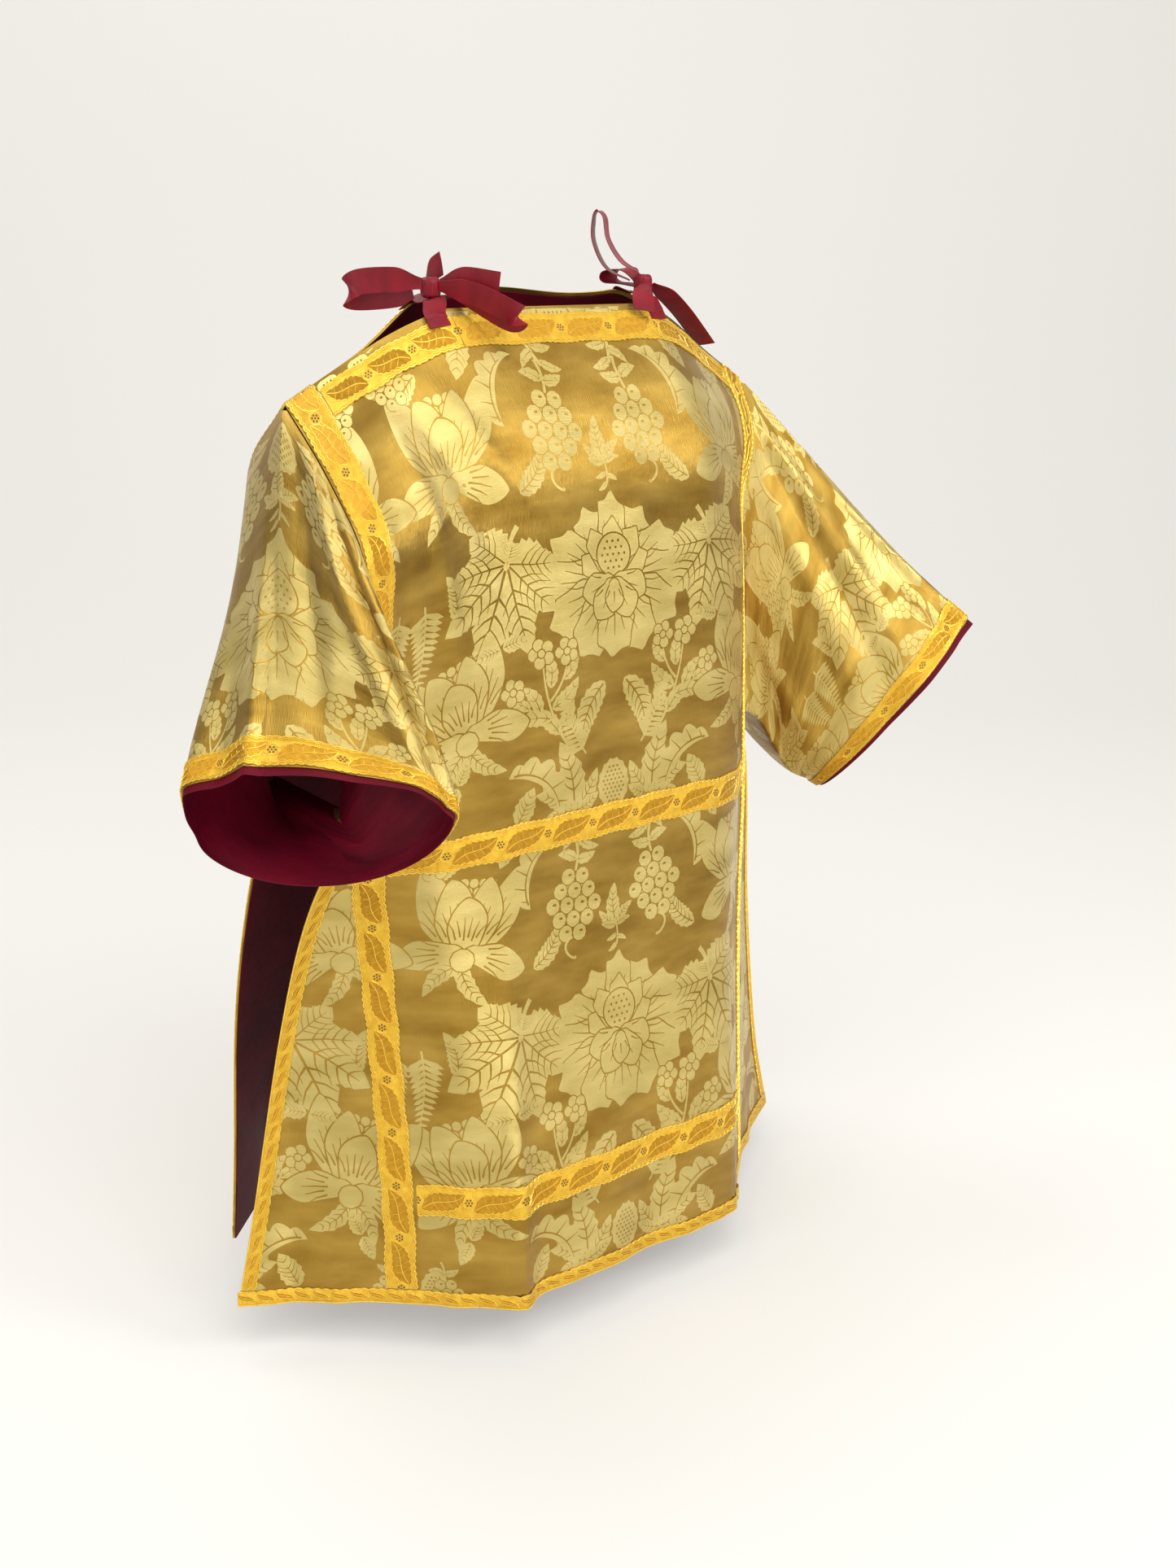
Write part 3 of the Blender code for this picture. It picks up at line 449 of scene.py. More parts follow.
# Sizes of the dressing
FINE_ACROSS = 301
FINE_DOWN = 325
FINE_ROUND = 313
FINE_ALONG = 110
CLOTH_GRID = 0.010
SLEEVE_AROUND = 0.88
SLEEVE_LONG = 0.41
WIDE_REPEAT = 0.060
NARROW_REPEAT = 0.021
SCALLOP = 0.0075
SCALLOP_DEPTH = 0.0020
EDGE_WAVE = 0.0018
EDGE_STRIP = 0.0065
RELIEF = 0.0007
LINING_GRID = (100, 91)
SLEEVE_LINING_GRID = (40, 141)
EDGE_ROOM = 0.002
FIGURE_REACH = 0.48
BRAID_END = 0.983
HEM_BRAID = (0.9838, 0.0174)
BAND_CLEAR = 0.002
BAND_MIDDLE = 0.018
SLEEVE_HEM_ROUND = 0.70
BRAID_STEP = 0.0023
THREAD_CLEAR = 0.00012
FLOOR_HEIGHT = -1.14
FLOOR_CURVE = 1.6
FLOOR_FLAT = 2.6

# The camera: the place it looks from and the angles it is turned by
CAMERA_PLACE = (-1.214, -1.702, 0.065)
CAMERA_AZIMUTH = -38.0
CAMERA_PITCH = 16.8
CAMERA_LENS = 36.0 * 2200 / 1927

# Soft lights: where each stands, what it faces, how wide it is and its watts
STUDIO_LIGHTS = (
    ("overhead", (-0.8, -2.1, 2.6), (0.0, 0.0, -0.3), 3.6, 105.0),
    ("key", (1.6, -2.6, 1.3), (0.1, 0.0, -0.3), 1.2, 36.0),
    ("side", (-3.0, -0.6, 0.9), (0.0, 0.0, -0.4), 1.4, 18.0),
    ("low", (-1.4, -3.4, -0.5), (0.0, 0.0, -0.7), 0.6, 12.0),
    ("front", (-0.3, -3.4, 0.2), (0.0, 0.0, -0.6), 0.5, 12.0),
    ("floor_wash", (-0.4, 1.6, 3.2), (0.9, 2.2, -1.1), 2.6, 70.0),
)
WORLD_STRENGTH = 0.30


class Surface:
    """A fine grid of a cloth's middle surface that any point of the cloth is read from."""

    def __init__(self, points, x_range, y_range, outward):
        self.points = points
        self.x_range = x_range
        self.y_range = y_range
        across = np.gradient(points, axis=1)
        down = np.gradient(points, axis=0)
        self.normals = unit(np.cross(across, down)) * outward

    def at(self, x, y, lift=0.0):
        x, y, lift = np.broadcast_arrays(np.asarray(x, float), np.asarray(y, float), lift)
        rows, columns = self.points.shape[:2]
        i = (x - self.x_range[0]) / (self.x_range[1] - self.x_range[0]) * (columns - 1)
        j = (y - self.y_range[0]) / (self.y_range[1] - self.y_range[0]) * (rows - 1)
        i0 = np.clip(i.astype(int), 0, columns - 2)
        j0 = np.clip(j.astype(int), 0, rows - 2)
        a = (i - i0)[..., None]
        b = (j - j0)[..., None]

        def mix(grid):
            upper = grid[j0, i0] * (1 - a) + grid[j0, i0 + 1] * a
            lower = grid[j0 + 1, i0] * (1 - a) + grid[j0 + 1, i0 + 1] * a
            return upper * (1 - b) + lower * b

        return mix(self.points) + unit(mix(self.normals)) * lift[..., None]


def panel_surface(panel, creases):
    panel.folds = panel.folds + creases
    u_range = (-0.52, 0.52)
    t_range = (0.0, 1.0)
    u, t = np.meshgrid(np.linspace(*u_range, FINE_ACROSS), np.linspace(*t_range, FINE_DOWN))
    return Surface(panel.folded(u, t), u_range, t_range, panel.outward)


def sleeve_surface(sleeve, creases):
    """The sleeve cut open under the arm, so round runs from -0.5 to 0.5 of the way."""
    f_range = (-0.52, 0.52)
    s_range = (0.0, 1.0)
    f, s = np.meshgrid(np.linspace(*f_range, FINE_ROUND), np.linspace(*s_range, FINE_ALONG))
    points = sleeve.middle_line(f, s)
    outward = sleeve.shape["side"]
    plain = Surface(points, f_range, s_range, outward)
    height = np.zeros(f.shape)
    for round_top, round_low, start, end, width, rise in creases:
        share = np.clip((s - start) / (end - start), 0, 1)
        middle = round_top + (round_low - round_top) * s
        strength = np.sin(math.pi * np.clip(share, 0, 1)) ** 0.7 if end <= 1.0 else smooth(share * 1.5)
        for turn in (-1, 0, 1):
            height += rise * strength * np.exp(-((f + turn - middle) / width) ** 2)
    return Surface(points + plain.normals * height[..., None], f_range, s_range, outward)


FRONT_CLOTH = panel_surface(FRONT, FRONT_CREASES)
BACK_CLOTH = panel_surface(BACK, BACK_CREASES)
SLEEVE_CLOTHS = {word: sleeve_surface(Sleeve(SLEEVES[word]), SLEEVE_CREASES[word])
                 for word in SLEEVES}
CLOTHS = {"front": FRONT_CLOTH, "back": BACK_CLOTH}
PANELS = {"front": FRONT, "back": BACK}
SIDES = (("right", -1), ("left", 1))


def make_object(name, points, faces, materials, indices=None, coordinates=None):
    """A mesh object at the origin, with a UV map in the cloth's own metres."""
    mesh = bpy.data.meshes.new(name)
    mesh.from_pydata(np.asarray(points).tolist(), [], faces)
    for material in materials:
        mesh.materials.append(material)
    if indices is not None:
        mesh.polygons.foreach_set("material_index", np.asarray(indices, np.int32))
    if coordinates is not None:
        corner = np.zeros(len(mesh.loops), np.int32)
        mesh.loops.foreach_get("vertex_index", corner)
        layer = mesh.uv_layers.new(name="cloth")
        layer.data.foreach_set("uv", np.asarray(coordinates, np.float32)[corner].ravel())
    mesh.shade_smooth()
    mesh.set_sharp_from_angle(angle=math.radians(50))
    piece = bpy.data.objects.new(name, mesh)
    bpy.context.collection.objects.link(piece)
    return piece


def finish_piece(piece, node):
    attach(piece, "root")
    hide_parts(node)


# Damask figures. Each is a list of outlines in its own metres, each with 1 for figure or 0 for
# ground, and later outlines lie over earlier ones.


def stroke(line, start, end):
    """A tapering line as an outline."""
    line = np.asarray(line, float)
    way = unit(np.gradient(line, axis=0))
    aside = np.stack([-way[:, 1], way[:, 0]], axis=1)
    half = np.linspace(start, end, len(line))[:, None] / 2
    return np.concatenate([line + aside * half, (line - aside * half)[::-1]])


def curl(start, bend, end, count=7):
    """A curved line from start to end, drawn towards bend."""
    k = np.linspace(0, 1, count)[:, None]
    return (1 - k) ** 2 * np.array(start) + 2 * k * (1 - k) * np.array(bend) + k ** 2 * np.array(end)


def disc(x, y, radius, count=12, squash=1.0):
    angle = np.linspace(0, 2 * math.pi, count, endpoint=False)
    return np.stack([x + radius * np.cos(angle), y + radius * squash * np.sin(angle)], axis=1)


def saw(x):
    return x - np.floor(x)


def turned(outlines, degrees, x=0.0, y=0.0, size=1.0):
    angle = math.radians(degrees)
    spin = np.array([[math.cos(angle), math.sin(angle)], [-math.sin(angle), math.cos(angle)]])
    return [(outline @ spin * size + [x, y], kind) for outline, kind in outlines]


def edged(outline, gap):
    """An outline with a thin line of ground left round it."""
    middle = outline.mean(axis=0)
    away = outline - middle
    far = np.linalg.norm(away, axis=1, keepdims=True)
    return [(middle + away * (1 + gap / np.maximum(far, gap)), 0), (outline, 1)]


def petal(reach, width, lobes=4, depth=0.10, lean=0.0, hatch=5):
    """A ruffled petal from the origin along x, with short streaks left as ground."""
    angle = np.linspace(-math.pi, math.pi, 45)[:-1]
    ruffle = 1.0 - 1.5 * depth * np.abs(np.sin(0.75 * lobes * angle + 0.4)) * (np.abs(angle) < 2.3)
    x = reach * (0.5 + 0.5 * np.cos(angle) * ruffle)
    y = width / 2 * np.sin(angle) * (0.80 + 0.20 * np.cos(angle)) * ruffle
    outlines = edged(np.stack([x, y + lean * x ** 2], axis=1), 0.016)
    for number in range(hatch):
        place = (number - (hatch - 1) / 2) / max(1, hatch - 1)
        inner = (reach * (0.34 + 0.05 * (number % 2)), width * place * 0.42)
        outer = (reach * (0.72 - 0.25 * abs(place)), width * place * 0.82)
        bend = (reach * 0.52, width * place * 0.56)
        line = curl(inner, bend, outer, 3)
        line[:, 1] += lean * line[:, 0] ** 2
        outlines.append((stroke(line, 0.018, 0.007), 0))
    return outlines


PEONY_RINGS = (
    # lobes, depth, hatch, petals as turn, reach and width
    (5, 0.12, 5, ((62, 0.86, 0.62), (118, 0.88, 0.60), (90, 0.94, 0.50), (28, 0.98, 0.62), (152, 0.99, 0.64),
                  (2, 1.04, 0.60), (178, 1.02, 0.62))),
    (5, 0.10, 5, ((-28, 1.02, 0.66), (-152, 1.00, 0.68), (-62, 0.92, 0.72), (-120, 0.93, 0.70),
                  (-90, 0.86, 0.66))),
    (4, 0.10, 2, ((150, 0.52, 0.36), (30, 0.52, 0.36), (120, 0.62, 0.36), (60, 0.62, 0.36),
                  (90, 0.66, 0.34))),
    (3, 0.08, 3, ((-20, 0.46, 0.42), (-160, 0.46, 0.42), (-60, 0.48, 0.42), (-118, 0.48, 0.42),
                  (-90, 0.36, 0.30))),
)


def peony():
    """A full flower seen from the side, radius 1: ruffled petals round a seeded heart."""
    outlines = []
    for lobes, depth, hatch, petals in PEONY_RINGS:
        if lobes == 3:
            outlines += edged(disc(0.0, 0.26, 0.22, 24), 0.018)
            for row in range(-2, 3):
                for column in range(-2, 3):
                    x = (column + 0.5 * (row % 2)) * 0.075
                    y = 0.26 + row * 0.070
                    if x ** 2 + (y - 0.26) ** 2 < 0.034:
                        outlines.append((disc(x, y, 0.017, 5), 0))
        for turn, reach, width in petals:
            outlines += turned(petal(reach, width, lobes, depth, hatch=hatch), turn)
    return outlines


def leaves(shape, places):
    """Leaves of one cut, each at its turn, place and size."""
    outlines = []
    for turn, x, y, size in places:
        outlines += turned(leaf(*shape), turn, x, y, size)
    return outlines


def tulip():
    """A half-open flower in profile, height 1, cupped by combed petals and a seeded top."""
    outlines = []
    for side in (-1, 1):
        outlines += turned(petal(0.92, 0.46, 3, 0.08, -0.30 * side, 6), 90 + 46 * side, 0, -0.30)
    for row in range(4):
        for column in range(row + 2):
            x = (column - (row + 1) / 2) * 0.095
            outlines += edged(disc(x, 0.14 + row * 0.085, 0.045, 8), 0.010)
    for side in (-1, 1):
        outlines += turned(petal(0.80, 0.44, 3, 0.08, -0.22 * side, 6), 90 + 24 * side, 0, -0.34)
    outlines += turned(petal(0.62, 0.44, 3, 0.06, 0, 6), 90, 0, -0.36)
    for side in (-1, 1):
        outlines += turned(petal(0.66, 0.38, 3, 0.08, 0.20 * side, 5), 90 + 98 * side, 0, -0.26)
        outlines += turned(leaf(0.34, 5), 90 + 140 * side, 0.02 * side, -0.36, 0.52)
    outlines += edged(disc(0, -0.34, 0.11, 10), 0.012)
    return outlines


def leaf(width=0.42, teeth=8, bend=0.25, combs=6):
    """A toothed leaf of length 1 along x, with a midrib and combed side veins of ground."""
    k = np.linspace(0, 1, 3 * teeth + 1)
    spine = np.stack([k, bend * np.sin(math.pi * k) * 0.5], axis=1)
    swell = np.sin(math.pi * k ** 0.72) ** 0.75
    half = width / 2 * swell * (1.0 - 0.26 * saw(teeth * k))
    way = unit(np.gradient(spine, axis=0))
    aside = np.stack([-way[:, 1], way[:, 0]], axis=1)
    outline = np.concatenate([spine + aside * half[:, None], (spine - aside * half[:, None])[-2:0:-1]])
    outlines = [(outline, 1), (stroke(spine[1:-5:2], 0.030, 0.010), 0)]
    for place in np.linspace(0.14, 0.74, combs):
        index = int(place * 3 * teeth)
        for side in (-1, 1):
            base = spine[index]
            tip = base + way[index] * half[index] * 0.75 + aside[index] * side * half[index] * 0.78
            bend_point = base + way[index] * half[index] * 0.20 + aside[index] * side * half[index] * 0.45
            outlines.append((stroke(curl(base, bend_point, tip, 3), 0.026, 0.007), 0))
    return outlines


def vine():
    """A broad lobed leaf of length 1 hanging along -y, with combed ribs."""
    lobes = ((90, 0.20, 0.30), (18, 0.52, 0.46), (162, 0.52, 0.46), (-22, 0.66, 0.44), (-158, 0.66, 0.44),
             (-55, 0.84, 0.46), (-125, 0.84, 0.46), (-90, 1.02, 0.48))
    outlines = []
    ribs = []
    for turn, reach, width in lobes:
        shape = leaf(width / reach, 7, 0.0, 5)
        outlines += turned(shape[:1], turn, size=reach)
        ribs += turned([(stroke([[0.05, 0], [0.5, 0.02], [0.86, 0]], 0.030, 0.010), 0)] + shape[4:], turn,
                       size=reach)
    for x in (-0.14, 0.14):
        outlines.append((disc(x, -0.18, 0.22, 14), 1))
    outlines.append((disc(0, -0.40, 0.20, 14), 1))
    return outlines + ribs + [(stroke(curl((0, 0.34), (0.06, 0.16), (0, 0.02)), 0.05, 0.03), 1)]


def grapes():
    """A hanging bunch of length 1: round berries with eyes, small leaves and a curled tendril."""
    outlines = [(stroke(curl((0.02, 0.22), (-0.04, 0.08), (0.0, -0.10)), 0.035, 0.030), 1)]
    for side in (-1, 1):
        outlines += turned(leaf(0.5, 4, 0.2, 2), 90 - 75 * side, 0, 0.02, 0.26)
    for count, y in ((2, -0.16), (3, -0.31), (4, -0.46), (3, -0.61), (2, -0.76)):
        for number in range(count):
            x = (number - (count - 1) / 2) * 0.185
            outlines += edged(disc(x, y, 0.088, 10), 0.012)
            outlines.append((disc(x - 0.020, y + 0.018, 0.028, 5, 0.6), 0))
    turn = np.linspace(0, 1, 14)
    tail = np.stack([0.10 * np.sin(5.5 * turn) * (1 - 0.5 * turn),
                     -0.85 - 0.20 * turn + 0.05 * np.cos(5.5 * turn)], axis=1)
    outlines.append((stroke(tail, 0.032, 0.020), 1))
    return outlines


def fork():
    """A forked stem of length 1 along y with a tall toothed leaf and small side leaves."""
    outlines = [(stroke(curl((0.0, -0.45), (0.06, -0.25), (0.0, 0.0)), 0.040, 0.030), 1)]
    for turn, size, width in ((90, 0.80, 0.44), (140, 0.52, 0.42), (42, 0.55, 0.42), (168, 0.36, 0.44),
                              (12, 0.36, 0.44)):
        outlines += turned(leaf(width, 7, 0.15, 5), turn, 0, -0.06, size)
    places = ((200, 0, -0.24, 0.26), (-24, 0, -0.30, 0.26), (215, 0, -0.40, 0.26))
    return outlines + leaves((0.4, 4, 0.2, 2), places)


def stripes():
    """A pair of small arrow-shaped leaves cut by slanted stripes, height 1."""
    return leaves((0.62, 5, 0.0, 5), ((100, 0.0, 0.02, 0.52), (-80, 0.0, -0.02, 0.52)))


def spray():
    """A branching spray of height 1 with toothed leaves and three small blossoms."""
    outlines = [(stroke(curl((0.0, -0.5), (0.10, -0.1), (-0.04, 0.30), 9), 0.030, 0.014), 1),
                (stroke(curl((0.03, -0.2), (0.22, -0.1), (0.30, 0.14)), 0.024, 0.014), 1),
                (stroke(curl((0.02, -0.05), (-0.16, 0.02), (-0.26, 0.20)), 0.024, 0.014), 1)]
    outlines += leaves((0.44, 5, 0.2, 3), (
        (60, 0.04, -0.36, 0.36), (130, 0.03, -0.34, 0.34), (20, 0.06, -0.20, 0.36), (160, 0.03, -0.12, 0.36),
        (75, 0.14, -0.10, 0.30), (105, -0.02, 0.05, 0.30), (40, 0.22, -0.02, 0.24), (150, -0.16, 0.06, 0.24)))
    for x, y, size in ((-0.05, 0.36, 0.13), (0.31, 0.20, 0.12), (-0.28, 0.26, 0.12)):
        for number in range(5):
            angle = 2 * math.pi * (number + 0.25) / 5
            outlines += edged(disc(x + size * 0.6 * math.cos(angle), y + size * 0.6 * math.sin(angle),
                                   size * 0.40, 9), 0.010)
        outlines += edged(disc(x, y, size * 0.26, 7), 0.012)
    return outlines


def frond():
    """A comb-leaved frond of length 1 along x, gently curved."""
    k = np.linspace(0, 1, 12)
    spine = np.stack([k, 0.22 * k ** 2], axis=1)
    outlines = [(stroke(spine, 0.030, 0.012), 1)]
    for place in np.linspace(0.10, 0.95, 11):
        x, y = place, 0.22 * place ** 2
        reach = 0.27 * (1.05 - 0.75 * place)
        for side in (-1, 1):
            blade = np.array([[0, 0], [reach * 0.30, reach * 0.72 * side], [reach * 0.62, reach * side],
                              [reach * 0.60, reach * 0.55 * side], [0.050, 0.0]]) + [x, y]
            outlines.append((blade, 1))
    return outlines


def scroll():
    """A curled lobed leaf of length 1."""
    k = np.linspace(0, 1, 49)
    turn = 2.0 * k
    spine = np.stack([np.cumsum(np.cos(turn)), np.cumsum(np.sin(turn))], axis=1) / len(k) * 1.4
    way = unit(np.gradient(spine, axis=0))
    aside = np.stack([-way[:, 1], way[:, 0]], axis=1)
    swell = np.sin(math.pi * k ** 0.8)
    outer = 0.30 * swell * (0.62 + 0.38 * np.abs(np.sin(math.pi * 6 * k)))
    outline = np.concatenate([spine + aside * (0.08 * swell)[:, None],
                              (spine - aside * outer[:, None])[-2:0:-1]])
    outlines = [(outline, 1), (stroke(spine[3:-8:3], 0.034, 0.010), 0)]
    for place in (5, 12, 20, 28, 36):
        tip = spine[place] - aside[place] * outer[place] * 0.80 + way[place] * 0.06
        outlines.append((stroke(curl(spine[place], (spine[place] + tip) / 2, tip, 4), 0.026, 0.008), 0))
    return outlines


def trellis():
    """A latticed shell of height 1 with a ruffled rim."""
    angle = np.linspace(0, 2 * math.pi, 60, endpoint=False)
    radius = 0.50 * (1.0 - 0.09 * np.abs(np.sin(7 * angle)))
    outlines = [(np.stack([0.74 * radius * np.cos(angle), radius * np.sin(angle)], axis=1), 1)]
    for row in range(-4, 5):
        for column in range(-3, 4):
            x = (column + 0.5 * (row % 2)) * 0.092
            y = row * 0.080
            if (x / 0.27) ** 2 + (y / 0.37) ** 2 < 1.0:
                outlines.append((disc(x, y, 0.030, 4), 0))
    return outlines


FIGURES = {"peony": peony, "tulip": tulip, "leaf": leaf, "vine": vine, "grapes": grapes, "fork": fork,
           "stripes": stripes, "spray": spray, "frond": frond, "scroll": scroll, "trellis": trellis}

# One repeat of the damask: out from its middle, down from its centre, size and turn. It is
# mirrored about its middle and about its loom edge, and laid again every repeat down the cloth.
REPEAT_HALF = 0.268
REPEAT_FIGURES = (
    ("leaf", 0.028, -0.150, 0.058, 30), ("leaf", 0.118, -0.100, 0.060, 130),
    ("leaf", 0.092, 0.190, 0.056, -110), ("leaf", 0.212, 0.010, 0.056, 75),
    ("leaf", 0.200, -0.240, 0.052, -40), ("stripes", 0.206, 0.196, 0.058, 15),
    ("peony", 0.000, 0.000, 0.102, 0), ("fork", 0.000, -0.128, 0.060, 0),
    ("leaf", 0.014, 0.112, 0.080, -66), ("vine", 0.140, -0.030, 0.120, 22),
    ("grapes", 0.054, -0.208, 0.106, 6), ("tulip", 0.196, -0.165, 0.118, 10),
    ("fork", 0.058, -0.272, 0.108, -14), ("spray", 0.090, 0.116, 0.132, -22),
    ("tulip", 0.205, 0.110, 0.122, -14), ("scroll", 0.146, 0.202, 0.080, 165),
    ("frond", 0.252, -0.020, 0.085, 262), ("trellis", 0.000, 0.232, 0.062, 0),
    ("scroll", 0.118, -0.165, 0.070, 60), ("stripes", 0.134, -0.262, 0.088, 20),
    ("trellis", 0.248, -0.262, 0.050, 0), ("grapes", 0.238, 0.238, 0.072, -8),
    ("frond", 0.040, 0.190, 0.074, 52), ("stripes", 0.152, 0.056, 0.062, 70),
)
PANEL_CENTRES = (-0.235, 0.285, 0.805, 1.325)
SLEEVE_CENTRES = (-0.180, 0.240, 0.760)


def laid_figures(centres, reach):
    """The repeat's outlines over a cloth, mirrored and laid down at its centres."""
    outlines = []
    for word, across, down, size, turn in REPEAT_FIGURES:
        figure = turned(FIGURES[word](), turn, across, -down, size)
        for mirror in (0, 1):
            for side in (-1, 1):
                if mirror == 0 and across == 0.0 and side < 0:
                    continue
                base = 2 * REPEAT_HALF - across if mirror else across
                if base - size > reach:
                    continue
                for centre in centres:
                    for outline, kind in figure:
                        x = 2 * REPEAT_HALF - outline[:, 0] if mirror else outline[:, 0]
                        outlines.append((np.stack([x * side, outline[:, 1] - centre], axis=1), kind))
    return outlines


def flat_grid(border, inside, step):
    low = border.min(axis=0)
    high = border.max(axis=0)
    x, y = np.meshgrid(np.arange(low[0], high[0], step), np.arange(low[1], high[1], step))
    grid = np.stack([x.ravel(), y.ravel()], axis=1)
    return grid[inside(grid)]


def triangulated(border, points, edges):
    """Triangles inside the border that keep every given edge."""
    everything = [Vector(point) for point in np.concatenate([border] + points)]
    made = delaunay_2d_cdt(everything, edges, [list(range(len(border)))], 1, 1e-6, False)
    places, triangles = np.array([vector[:] for vector in made[0]]), np.array(made[2])
    return places, triangles[covered(places[triangles].mean(axis=1), border)]


def covered(points, outline):
    """Which points lie in an outline, by how many of its edges each one is left of."""
    x, y = points[:, 0:1], points[:, 1:2]
    x0, y0 = outline[:, 0], outline[:, 1]
    x1, y1 = np.roll(x0, -1), np.roll(y0, -1)
    rise = np.where(y1 == y0, 1.0, y1 - y0)
    crossing = ((y0 > y) != (y1 > y)) & (x < x0 + (y - y0) * (x1 - x0) / rise)
    return crossing.sum(axis=1) % 2 == 1


def painted(places, triangles, outlines):
    """1 where a triangle is figure and 0 where it is ground: the last outline over it counts."""
    middles = places[triangles].mean(axis=1)
    order = np.argsort(middles[:, 0])
    middles = middles[order]
    kinds = np.zeros(len(middles), int)
    for outline, kind in outlines:
        low, high = outline.min(axis=0), outline.max(axis=0)
        first, last = np.searchsorted(middles[:, 0], [low[0], high[0]])
        near = np.arange(first, last)
        near = near[(middles[near, 1] > low[1]) & (middles[near, 1] < high[1])]
        if len(near):
            kinds[near[covered(middles[near], outline)]] = kind
    result = np.zeros(len(kinds), int)
    result[order] = kinds
    return result


def cloth_triangles(border, inside, outlines, step):
    """Triangles of a flat cloth, each told whether it is figure or ground."""
    grid = flat_grid(border, inside, step)
    outlines = [(outline[inside(outline)], kind) for outline, kind in outlines]
    outlines = [(outline, kind) for outline, kind in outlines if len(outline) > 2]
    if not outlines:
        places, triangles = triangulated(border, [grid], [])
        return places, triangles, np.zeros(len(triangles), int)
    edges = []
    count = len(border)
    for outline, _ in outlines:
        ring = np.arange(count, count + len(outline))
        edges += np.stack([ring, np.roll(ring, -1)], axis=1).tolist()
        count += len(outline)
    places, triangles = triangulated(border, [outline for outline, _ in outlines], edges)
    kinds = painted(places, triangles, outlines)
    # only the lines where figure meets ground are kept, and the cloth is cut again along them
    sides = [triangles[:, [0, 1]], triangles[:, [1, 2]], triangles[:, [2, 0]]]
    sides = np.sort(np.concatenate(sides), axis=1)
    side_kinds = np.tile(kinds, 3)
    order = np.lexsort((sides[:, 1], sides[:, 0]))
    sides, side_kinds = sides[order], side_kinds[order]
    meet = (sides[1:] == sides[:-1]).all(axis=1) & (side_kinds[1:] != side_kinds[:-1])
    kept, renamed = np.unique(sides[1:][meet], return_inverse=True)
    edges = (renamed.reshape(-1, 2) + len(border)).tolist()
    places, triangles = triangulated(border, [places[kept], grid], edges)
    return places, triangles, painted(places, triangles, outlines)


def rim_edges(triangles):
    """Edges with cloth on one side only."""
    edges = set()
    for a, b, c in triangles:
        for start, end in ((a, b), (b, c), (c, a)):
            if (end, start) in edges:
                edges.remove((end, start))
            else:
                edges.add((start, end))
    return edges


def cloth_wall(name, border, inside, outlines, surface_at, materials):
    """A closed thin wall: the figured face, a plain back and the cut edge between them."""
    places, triangles, chosen = cloth_triangles(border, inside, outlines, CLOTH_GRID)
    plain, plain_triangles, _ = cloth_triangles(border, inside, [], 2 * CLOTH_GRID)
    outer = surface_at(places, CLOTH_HIGH)
    inner = surface_at(plain, CLOTH_LOW)
    count = len(places)
    rim = rim_edges(triangles.tolist())
    key = {tuple(np.round(place, 5)): index for index, place in enumerate(plain)}
    back = {index: count + key[tuple(np.round(places[index], 5))] for edge in rim for index in edge}
    faces = triangles.tolist() + (count + plain_triangles[:, ::-1]).tolist()
    faces += [[end, start, back[start], back[end]] for start, end in rim]
    indices = chosen.tolist() + [0] * (len(faces) - len(chosen))
    corners = triangles[:2000]
    first = outer[corners]
    facing = np.cross(first[:, 1] - first[:, 0], first[:, 2] - first[:, 0])
    lifted = first[:, 0] - surface_at(places[corners[:, 0]], CLOTH_LOW)
    if np.sum(facing * lifted) < 0:
        faces = [list(reversed(face)) for face in faces]
    return make_object(name, np.concatenate([outer, inner]), faces, materials, indices,
                       np.concatenate([places, plain]))


def closed_grid(outer, inner, flat):
    """Points, faces and flat places of a closed wall between two grids, facing outwards."""
    shape = outer.shape[:2]
    outer, inner, flat = outer.reshape(-1, 3), inner.reshape(-1, 3), flat.reshape(-1, 2)
    count = len(outer)
    number = np.arange(count).reshape(shape)
    quads = np.stack([number[:-1, :-1], number[1:, :-1], number[1:, 1:], number[:-1, 1:]], axis=-1)
    quads = quads.reshape(-1, 4)
    rim = np.concatenate([number[0, :], number[1:, -1], number[-1, -2::-1], number[-2:0:-1, 0]])
    follow = np.roll(rim, -1)
    sides = np.stack([rim, follow, count + follow, count + rim], axis=-1)
    faces = np.concatenate([quads, count + quads[:, ::-1], sides])
    facing = np.cross(outer[quads[:, 1]] - outer[quads[:, 0]], outer[quads[:, 3]] - outer[quads[:, 0]])
    if np.sum(facing * (outer - inner)[quads[:, 0]]) < 0:
        faces = faces[:, ::-1]
    return np.concatenate([outer, inner]), faces.tolist(), np.concatenate([flat, flat])


def lining_piece(name, node, surface, x, y, flat, material):
    """A lining over a grid of the cloth's own points."""
    points, faces, flat = closed_grid(surface.at(x, y, LINING_HIGH), surface.at(x, y, LINING_LOW), flat)
    piece = make_object(name, points, faces, [material], None, flat)
    finish_piece(piece, node)


def panel_edge(panel, t):
    t = np.asarray(t, float)
    return np.where(t < GORE_START, panel.seam(t), panel.side_edge(t))


def panel_border(panel):
    """The cut edge of a panel in flat metres, counter-clockwise from the top right."""
    down = np.unique(np.concatenate([np.linspace(0, 1, 90), [GORE_START]]))
    left = np.stack([-panel_edge(panel, down), -LENGTH * down], axis=1)
    across = np.linspace(-1, 1, 90)[1:-1]
    bottom = np.stack([across * panel_edge(panel, 1.0), np.full(88, -LENGTH)], axis=1)
    right = np.stack([panel_edge(panel, down[::-1]), -LENGTH * down[::-1]], axis=1)
    top = np.stack([across[::-1] * panel_edge(panel, 0.0), np.zeros(88)], axis=1)
    return np.concatenate([left, bottom, right, top])


